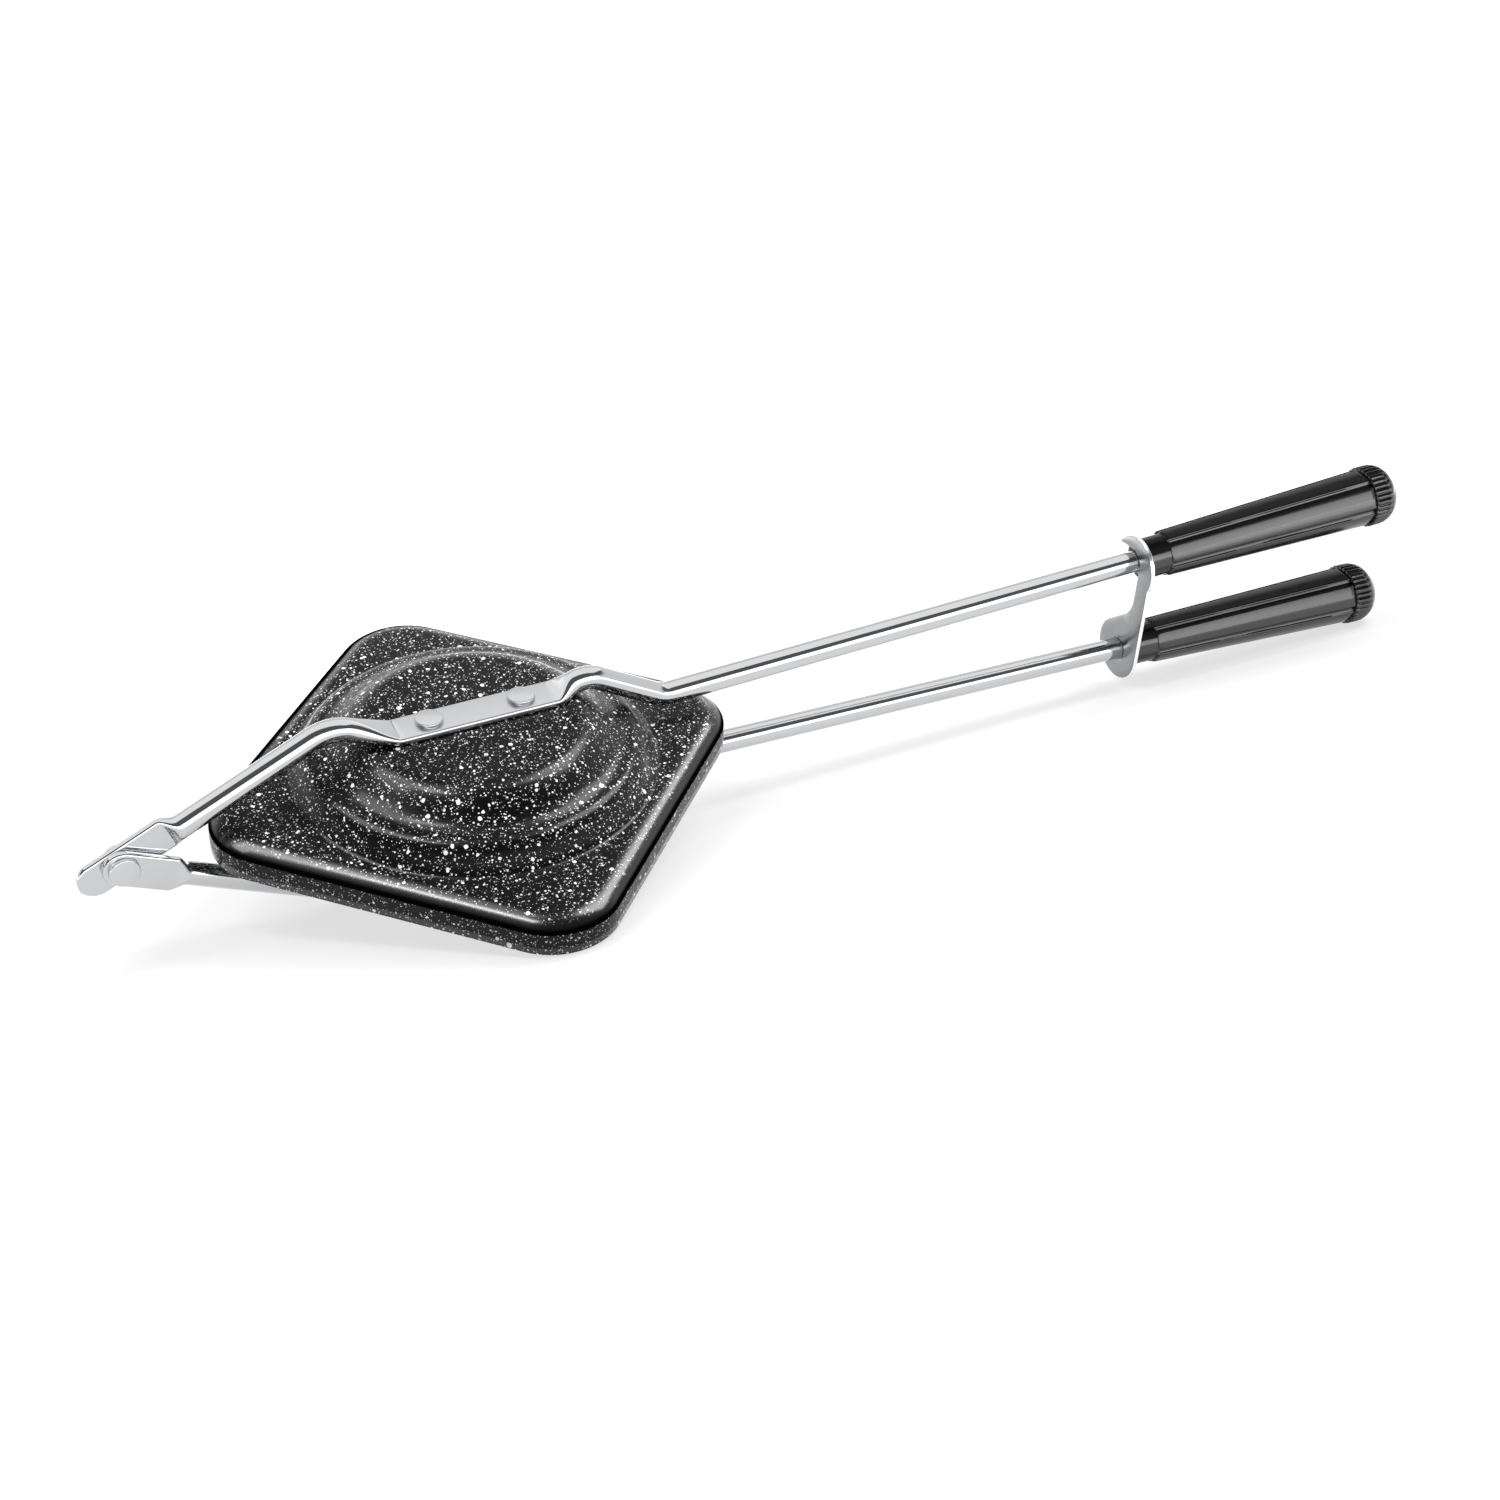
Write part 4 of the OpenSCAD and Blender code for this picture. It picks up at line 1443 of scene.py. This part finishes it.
@dataclass(frozen=True)
class StoneCoating:
    """Non-stick "stone" coating, sprayed on: white specks of many sizes over a satin black ground.

    The eye gets speckled stone with soft glints on the dome and one wet line along the shoulder.
    A painted shade, matt black, lies in the crease and over the shoulders of the edges facing behind.
    Heights are in millimetres from the plane between the pans.
    """

    ground: str = "030304"
    fleck: str = "FFFFFF"
    roughness: float = 0.33
    smoother: float = 0.04
    rougher: float = 0.05
    # The painted shade in the crease, matt black without specks, fades out between the next two heights.
    crease_shade_from: float = 4.1
    crease_shade_to: float = 5.3
    # Below the next two heights, the crease's painted shade has no gloss either.
    wet_from: float = 2.9
    wet_to: float = 3.6
    thick_from: float = 5.2
    thick_to: float = 5.75
    land_from: float = 5.6
    land_to: float = 5.79
    skirt_level: tuple[float, float] = (0.3, 0.5)
    skirt_share: float = 0.68
    # Where the surface faces behind past these values, the painted shade reaches up to the land.
    behind: tuple[float, float] = (0.20, 0.34)
    coat: float = 0.26
    shoulder_coat: float = 1.0
    coat_roughness: float = 0.17
    film_gloss: float = 0.15
    speck_edge_mm: float = 0.05
    warp_cell: float = 0.45
    seed_turn: float = 0.7
    tone_full: float = 0.8
    cloud_mm: float = 9.0
    cloud: tuple[float, float] = (0.35, 0.6)
    cloud_least: float = 0.7
    peel_mm: float = 1.4
    peel_bump: float = 0.10
    peel_depth_mm: float = 0.02
    layers: tuple[SpeckLayer, ...] = (
        SpeckLayer(0.62, 0.46, 0.16, 0.40, 0.30, 0.0, 0.0),
        SpeckLayer(1.25, 0.50, 0.12, 0.34, 0.75, 3.7, 0.35),
        SpeckLayer(3.2, 0.45, 0.10, 0.24, 1.0, 9.1, 0.4),
        SpeckLayer(7.0, 0.50, 0.09, 0.15, 1.0, 15.3, 0.12),
    )

    def specks(self, t: NodeSheet, place: bpy.types.NodeSocket) -> bpy.types.Node:
        """Adds the specks of every size.

        Args:
            t: the material's nodes.
            place: the shaded point.

        Returns:
            The node that gives how white the coating is, 0 to 1.
        """
        flecks = None
        for layer in self.layers:
            cell, seed = layer.cell_mm, layer.seed
            where = t.add("Mapping", Vector=place, Location=(seed, seed * self.seed_turn, -seed))
            if layer.warp:
                warp = t.add("TexNoise", Vector=where, Scale=1 / (cell * self.warp_cell * MM), Detail=2.0)
                reach = cell * layer.warp * MM
                push = t.add("VectorMath", SCALE, Vector=warp.outputs["Color"], Scale=reach)
                where = t.add("VectorMath", ADD, i0=where, i1=push.outputs[0])
            cells = t.add("TexVoronoi", Vector=where, Scale=1 / (cell * MM), Randomness=1.0)
            lot = t.add("SeparateColor", Color=cells.outputs["Color"])
            red, least = lot.outputs["Red"], 1 - layer.share
            size = t.add("MapRange", Value=red, i1=least, i2=1.0, i3=layer.small, i4=layer.large)
            here = t.add("Math", GREATER_THAN, i0=red, i1=least)
            edge = t.add("Math", SUBTRACT, i0=size, i1=cells.outputs["Distance"])
            dot = t.add("MapRange", Value=edge, i1=0.0, i2=self.speck_edge_mm / cell, i3=0.0, i4=here)
            green = lot.outputs["Green"]
            tone = t.add("MapRange", Value=green, i1=0.0, i2=self.tone_full, i3=layer.tone, i4=1.0)
            seen = t.add("Math", MULTIPLY, i0=dot, i1=tone)
            flecks = seen if flecks is None else t.add("Math", MAXIMUM, i0=flecks, i1=seen)
        return flecks

    def build(self) -> bpy.types.Material:
        """Makes the material.

        Returns:
            The material.
        """
        t = NodeSheet("stone_coating")
        place = t.place()
        flecks = self.specks(t, place)
        # Painted shade: a band along the crease is left matt black, without specks.
        height = t.add("Math", ABSOLUTE, i0=t.add("SeparateXYZ", Vector=place).outputs["Z"])
        low, high = self.crease_shade_from * MM, self.crease_shade_to * MM
        over = t.add("MapRange", Value=height, i1=low, i2=high, i3=0.0, i4=1.0)
        level = t.add("Math", ABSOLUTE, i0=t.facing((0.0, 0.0, 1.0)))
        low, high = self.skirt_level
        skirt = t.add("MapRange", Value=level, i1=low, i2=high, i3=self.skirt_share, i4=0.0)
        # Painted shade: on the edges that face away behind, the matt black band reaches up over the shoulder,
        # without specks or gloss.
        low, high = self.behind
        behind = t.add("MapRange", Value=t.facing((0.0, 1.0, 0.0)), i1=low, i2=high, i3=1.0, i4=0.0)
        low, high = self.land_from * MM, self.land_to * MM
        inside = t.add("MapRange", Value=height, i1=low, i2=high, i3=0.0, i4=1.0)
        clear_of_back_shade = t.add("Math", MAXIMUM, i0=behind, i1=inside)
        over = t.add("Math", MULTIPLY, i0=over, i1=clear_of_back_shade)
        open_ = t.add("Math", MAXIMUM, i0=over, i1=skirt)
        # The film runs thicker and glossier over the shoulder; lower down, in the crease, the painted shade
        # has no gloss at all.
        low, high = self.wet_from * MM, self.wet_to * MM
        wet = t.add("MapRange", Value=height, i1=low, i2=high, i3=0.0, i4=1.0)
        wet = t.add("Math", MULTIPLY, i0=wet, i1=clear_of_back_shade)
        low, high = self.thick_from * MM, self.thick_to * MM
        shoulder = t.add("MapRange", Value=height, i1=low, i2=high, i3=self.shoulder_coat, i4=self.coat)
        glossy = t.add("Math", MAXIMUM, i0=wet, i1=skirt)
        coat = t.add("Math", MULTIPLY, i0=shoulder, i1=wet)
        skirt_coat = t.add("Math", MULTIPLY, i0=skirt, i1=self.coat)
        coat = t.add("Math", MAXIMUM, i0=coat, i1=skirt_coat)
        cloud = t.add("TexNoise", Vector=place, Scale=1 / (self.cloud_mm * MM), Detail=3.0)
        low, high = self.cloud
        thin = t.add("MapRange", Value=cloud.outputs["Fac"], i1=low, i2=high, i3=self.cloud_least, i4=1.0)
        dense = t.add("Math", MULTIPLY, i0=flecks, i1=thin)
        amount = t.add("Math", MULTIPLY, i0=dense, i1=open_)
        colour = t.add("Mix", {"data_type": "RGBA"}, i0=amount, i6=srgb(self.ground), i7=srgb(self.fleck))
        peel = t.add("TexNoise", Vector=place, Scale=1 / (self.peel_mm * MM), Detail=2.0).outputs["Fac"]
        bump = t.add("Bump", Strength=self.peel_bump, Distance=self.peel_depth_mm * MM, Height=peel)
        low, high = self.roughness - self.smoother, self.roughness + self.rougher
        rough = t.add("MapRange", Value=peel, i1=NOISE_LOW, i2=NOISE_HIGH, i3=low, i4=high)
        gloss = t.add("Math", MULTIPLY, i0=glossy, i1=self.film_gloss)
        surface = t.add(
            "BsdfPrincipled",
            Base_Color=colour.outputs[2],
            Roughness=rough,
            Specular_IOR_Level=gloss,
            Coat_Weight=coat,
            Coat_Roughness=self.coat_roughness,
            Normal=bump,
        )
        return t.finish(surface)


@dataclass(frozen=True)
class PlatedTube:
    """Bright nickel plating over drawn steel tube: long streaks of mirror with faint lines in them."""

    colour: str = "C9CACC"
    roughness: float = 0.09
    smoother: float = 0.02
    rougher: float = 0.03
    strip_roughness: float = 0.33
    strip_fade_mm: float = 3.0
    line_mm: float = 0.35
    line_stretch: float = 0.012
    line_share: float = 0.06
    line_span: tuple[float, float] = (0.35, 0.65)
    wave_mm: float = 14.0
    bump: float = 0.12
    depth_mm: float = 0.06

    def build(self) -> bpy.types.Material:
        """Makes the material.

        Returns:
            The material.
        """
        t = NodeSheet("plated_tube")
        place = t.place()
        # Fine lines along the tube, left by drawing it through its die.
        drawn = t.add("Mapping", Vector=place, Scale=(self.line_stretch, 1.0, 1.0))
        lines = t.add("TexNoise", Vector=drawn, Scale=1 / (self.line_mm * MM), Detail=3.0).outputs["Fac"]
        # Slow waviness of a buffed surface, which makes its long highlights swim.
        wave = t.add("TexNoise", Vector=place, Scale=1 / (self.wave_mm * MM), Detail=1.0)
        both = t.add("Math", MULTIPLY_ADD, i0=lines, i1=self.line_share, i2=wave.outputs["Fac"])
        bump = t.add("Bump", Strength=self.bump, Distance=self.depth_mm * MM, Height=both)
        # The press leaves the strip on the pan satin, so it stays light where the round tube turns dark.
        along = t.add("SeparateXYZ", Vector=place).outputs["X"]
        middle = t.add("Math", SUBTRACT, i0=along, i1=ARM.strip_shift * MM)
        off = t.add("Math", ABSOLUTE, i0=middle)
        half = ARM.strip_l / 2 * MM
        fade = half - self.strip_fade_mm * MM
        satin = t.add("MapRange", Value=off, i1=fade, i2=half, i3=self.strip_roughness, i4=0.0)
        low, high = self.roughness - self.smoother, self.roughness + self.rougher
        worn = t.add("MapRange", Value=lines, i1=self.line_span[0], i2=self.line_span[1], i3=low, i4=high)
        rough = t.add("Math", MAXIMUM, i0=worn, i1=satin)
        colour = srgb(self.colour)
        surface = t.add("BsdfPrincipled", Base_Color=colour, Metallic=1.0, Roughness=rough, Normal=bump)
        return t.finish(surface)


@dataclass(frozen=True)
class SatinSteel:
    """Satin steel, blasted or stamped: soft reflections with a fine grain."""

    name: str
    colour: str
    roughness: float
    bump: float = 0.25
    grain_mm: float = 0.18
    smear_mm: float = 5.0
    depth_mm: float = 0.02
    smoother: float = 0.06
    rougher: float = 0.08
    white_edges: bool = False
    edge_colour: str = "FFFFFF"
    edge_from: float = 0.5
    edge_to: float = 0.9

    def build(self) -> bpy.types.Material:
        """Makes the material.

        Returns:
            The material.
        """
        t = NodeSheet(self.name)
        place = t.place()
        grain = t.add("TexNoise", Vector=place, Scale=1 / (self.grain_mm * MM), Detail=4.0).outputs["Fac"]
        smear = t.add("TexNoise", Vector=place, Scale=1 / (self.smear_mm * MM), Detail=2.0).outputs["Fac"]
        bump = t.add("Bump", Strength=self.bump, Distance=self.depth_mm * MM, Height=grain)
        low, high = self.roughness - self.smoother, self.roughness + self.rougher
        rough = t.add("MapRange", Value=smear, i1=NOISE_LOW, i2=NOISE_HIGH, i3=low, i4=high)
        colour: object = srgb(self.colour)
        if self.white_edges:
            # The plate's edges are coloured white, while its two faces keep the steel's colour.
            flat = t.add("Math", ABSOLUTE, i0=t.facing((1.0, 0.0, 0.0)))
            face = t.add("MapRange", Value=flat, i1=self.edge_from, i2=self.edge_to, i3=0.0, i4=1.0)
            bright = srgb(self.edge_colour)
            mixed = t.add("Mix", {"data_type": "RGBA"}, i0=face, i6=bright, i7=srgb(self.colour))
            colour = mixed.outputs[2]
        surface = t.add("BsdfPrincipled", Base_Color=colour, Metallic=1.0, Roughness=rough, Normal=bump)
        return t.finish(surface)


@dataclass(frozen=True)
class MouldedResin:
    """Black phenolic resin, pressed in a polished mould: deep black with one bright flank."""

    colour: str = "0A0A0B"
    roughness: float = 0.2
    smoother: float = 0.05
    rougher: float = 0.08
    under_gloss: float = 0.25
    dulled: float = 0.15
    bright_at: float = 0.42
    bright_span: tuple[float, float] = (0.34, 0.52)
    coat_ior: float = 1.6
    coat_roughness: float = 0.1
    flow_mm: float = 6.0
    skin_mm: float = 0.25
    bump: float = 0.06
    depth_mm: float = 0.02

    def build(self) -> bpy.types.Material:
        """Makes the material.

        Returns:
            The material.
        """
        t = NodeSheet("moulded_resin")
        place = t.place()
        flow = t.add("TexNoise", Vector=place, Scale=1 / (self.flow_mm * MM), Detail=3.0).outputs["Fac"]
        skin = t.add("TexNoise", Vector=place, Scale=1 / (self.skin_mm * MM), Detail=2.0).outputs["Fac"]
        bump = t.add("Bump", Strength=self.bump, Distance=self.depth_mm * MM, Height=skin)
        low, high = self.roughness - self.smoother, self.roughness + self.rougher
        rough = t.add("MapRange", Value=flow, i1=NOISE_LOW, i2=NOISE_HIGH, i3=low, i4=high)
        # Only the flanks that turn up and aside are bright in the photograph, so the others are dulled.
        aside = t.add("Math", SUBTRACT, i0=t.facing((0.0, 0.0, 1.0)), i1=self.bright_at)
        away = t.add("Math", ABSOLUTE, i0=aside)
        low, high = self.bright_span
        shine = t.add("MapRange", Value=away, i1=low, i2=high, i3=1.0, i4=self.dulled)
        surface = t.add(
            "BsdfPrincipled",
            Base_Color=srgb(self.colour),
            Roughness=rough,
            Specular_IOR_Level=self.under_gloss,
            Coat_Weight=shine,
            Coat_IOR=self.coat_ior,
            Coat_Roughness=self.coat_roughness,
            Normal=bump,
        )
        return t.finish(surface)


@dataclass(frozen=True)
class PaperFloor:
    """Matt white paper with a painted glow and no lamp behind it: dimmer in a pool about the tool, much
    stronger beyond it.
    """

    colour: str = "848484"
    light: str = "FFFFFF"
    pool: float = 0.70
    beyond: float = 3.2
    pool_r: float = 0.16
    beyond_r: float = 0.5
    pool_squeeze: float = 0.45
    fibre_mm: float = 2.0
    roughness: tuple[float, float] = (0.85, 0.95)

    def build(self) -> bpy.types.Material:
        """Makes the material.

        Returns:
            The material.
        """
        t = NodeSheet("paper_floor")
        place = t.add("TexCoord").outputs["Object"]
        squeezed = t.add("Mapping", Vector=place, Scale=(self.pool_squeeze, 1.0, 1.0))
        away = t.add("VectorMath", LENGTH, i0=squeezed).outputs["Value"]
        inner, outer = self.pool_r, self.beyond_r
        # Painted light: the paper glows by itself, dimmer about the tool so its shadows show, brighter
        # beyond.
        glow = t.add("MapRange", EASED, Value=away, i1=inner, i2=outer, i3=self.pool, i4=self.beyond)
        fibre = t.add("TexNoise", Vector=place, Scale=1 / (self.fibre_mm * MM), Detail=3.0).outputs["Fac"]
        low, high = self.roughness
        rough = t.add("MapRange", Value=fibre, i1=NOISE_LOW, i2=NOISE_HIGH, i3=low, i4=high)
        surface = t.add(
            "BsdfPrincipled",
            Base_Color=srgb(self.colour),
            Roughness=rough,
            Specular_IOR_Level=0.0,
            Emission_Color=srgb(self.light),
            Emission_Strength=glow,
        )
        return t.finish(surface)


# ---------------------------------------------------------------------------------------------
# The studio
# ---------------------------------------------------------------------------------------------
PAN_PLACE = Vector((-0.12, 0.0, 0.04))
# An area lamp's radiance is a quarter of its watts for each square metre.
WATTS_PER_RADIANCE = 4


def heading(azimuth: float, elevation: float) -> Vector:
    """A direction from its angles.

    Args:
        azimuth: degrees from +x towards +y.
        elevation: degrees above the floor.

    Returns:
        The unit vector.
    """
    a, e = math.radians(azimuth), math.radians(elevation)
    return Vector((math.cos(a) * math.cos(e), math.sin(a) * math.cos(e), math.sin(e)))


@dataclass(frozen=True)
class Softbox:
    """A rectangular light, aimed at the pans."""

    name: str
    azimuth: float
    elevation: float
    distance: float
    size: tuple[float, float]
    radiance: float
    lit: tuple[Slot, ...] = ()

    def build(self, floor: bpy.types.Object) -> None:
        """Adds the light, which lights only the slots it names, or the coating and the floor.

        Args:
            floor: the floor.
        """
        way = heading(self.azimuth, self.elevation)
        data = bpy.data.lights.new(self.name, "AREA")
        data.shape = "RECTANGLE"
        data.size, data.size_y = self.size
        data.energy = WATTS_PER_RADIANCE * self.size[0] * self.size[1] * self.radiance
        obj = bpy.data.objects.new(self.name, data)
        bpy.context.scene.collection.objects.link(obj)
        obj.location = PAN_PLACE + way * self.distance
        obj.rotation_mode = "QUATERNION"
        obj.rotation_quaternion = (-way).to_track_quat("-Z", "Y")
        takers = bpy.data.collections.new(f"{self.name}_lights")
        for slot in self.lit or (Slot.COATING,):
            for piece in PIECES[slot]:
                takers.objects.link(piece)
        if not self.lit:
            takers.objects.link(floor)
        obj.light_linking.receiver_collection = takers
        obj.visible_camera = False


METAL = (Slot.TUBE, Slot.RIVET, Slot.LATCH)


@dataclass(frozen=True)
class Room:
    """The room beyond the lamps: a white band about the horizon, highest behind the tool."""

    behind: float = 67.0
    edge_behind: float = 45.0
    edge_before: float = 12.0
    soft: float = 0.13
    band: float = 0.95
    dark: float = 0.12
    turn: tuple[float, float] = (-0.4, 0.7)

    def build(self) -> None:
        """Makes the world."""
        t = NodeSheet("room", world=True)
        way = t.add("TexCoord").outputs["Generated"]
        back = t.add("VectorMath", DOT_PRODUCT, i0=way, i1=heading(self.behind, 0.0))
        before, behind = (math.sin(math.radians(e)) for e in (self.edge_before, self.edge_behind))
        low, high = self.turn
        edge = t.add("MapRange", Value=back.outputs["Value"], i1=low, i2=high, i3=before, i4=behind)
        height = t.add("SeparateXYZ", Vector=way).outputs["Z"]
        above = t.add("Math", SUBTRACT, i0=height, i1=edge)
        level = t.add("MapRange", EASED, Value=above, i1=-self.soft, i2=self.soft, i3=self.band, i4=self.dark)
        bpy.context.scene.world = t.finish(t.add("Background", Color=srgb("FFFFFF"), Strength=level))


@dataclass
class Studio:
    """White floor, softboxes and the room."""

    half: float = 14.0
    boxes: list[Softbox] = field(
        default_factory=lambda: [
            Softbox("right_box", -6.0, 54.0, 1.5, (0.85, 0.8), 7.0),
            Softbox("left_box", 175.0, 62.0, 1.5, (0.75, 0.8), 5.2),
            Softbox("top_box", 180.0, 86.0, 1.5, (0.45, 0.45), 2.0),
            Softbox("shoulder_box", -139.0, 66.0, 1.5, (0.40, 0.20), 16.0),
            Softbox("back_box", 62.0, 31.0, 0.59, (0.60, 0.30), 0.8),
            Softbox("metal_sky", 75.0, 82.0, 1.55, (3.6, 2.0), 0.85, METAL),
            Softbox("metal_front", -92.0, 10.0, 1.7, (3.4, 0.65), 1.8, METAL + (Slot.GRIP,)),
            Softbox("grip_sky", 40.0, 62.0, 1.5, (1.2, 1.0), 0.25, (Slot.GRIP,)),
        ]
    )

    def build(self, paper: bpy.types.Material) -> None:
        """Makes the floor, the lights and the world.

        Args:
            paper: the floor's material.
        """
        h = self.half
        mesh = bpy.data.meshes.new("paper_floor")
        mesh.from_pydata([(-h, -h, 0), (h, -h, 0), (h, h, 0), (-h, h, 0)], [], [(0, 1, 2, 3)])
        floor = bpy.data.objects.new("paper_floor", mesh)
        bpy.context.scene.collection.objects.link(floor)
        mesh.materials.append(paper)
        floor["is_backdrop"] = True
        for box in self.boxes:
            box.build(floor)
        Room().build()
        view = bpy.context.scene.view_settings
        view.view_transform = "Standard"
        view.look = "None"


# ---------------------------------------------------------------------------------------------
# The whole object
# ---------------------------------------------------------------------------------------------
class PieIron:
    """All the pieces of the pie iron."""

    def build(self) -> None:
        """Makes every piece with its material."""
        coating = StoneCoating().build()
        tube = PlatedTube().build()
        rivet = SatinSteel("rivet_steel", "CACBCD", 0.3).build()
        plate = SatinSteel("latch_steel", "919294", 0.26, bump=0.12, grain_mm=0.3, white_edges=True).build()
        resin = MouldedResin().build()
        for side in Side:
            size = PAN_UPPER if side is Side.UPPER else lower_pan_size(PAN_UPPER)
            Pan(side, size).build(coating)
            Arm(side, ARM).build(tube)
            for end in (-1, 1):
                PanRivet(side, end).build(rivet)
            grip = Grip(side, GRIP)
            grip.build_grip(resin)
            grip.build_cap(resin)
        HingeRivet().build(rivet)
        Latch(LATCH, ARM).build(plate)
        for side in Side:
            for part in ("grip_screw", "grip_plug"):
                node = bpy.data.objects[f"{side.prefix}_{part}"]
                node.data.materials.clear()
                node.data.materials.append(rivet)
                log.info("%s keeps its solid, in %s", node.name, rivet.name)


def save_bounds(when: str, found: dict) -> None:
    """Notes the object's box in a dictionary.

    Args:
        when: the name of the moment.
        found: the boxes noted so far, added to in place.
    """
    low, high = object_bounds()
    found[when] = [list(low), list(high)]


def main() -> None:
    """Builds the scene."""
    logging.basicConfig(level=logging.INFO)
    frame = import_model()
    boxes: dict = {}
    save_bounds("loaded", boxes)
    TOOL["frame"] = ToolFrame(frame["joints"], ARM)
    PieIron().build()
    Studio().build(PaperFloor().build())
    CameraFit().build(TOOL["frame"])
    save_bounds("dressed", boxes)
    log.info("bounds %s", boxes)


if __name__ == "__main__":
    main()
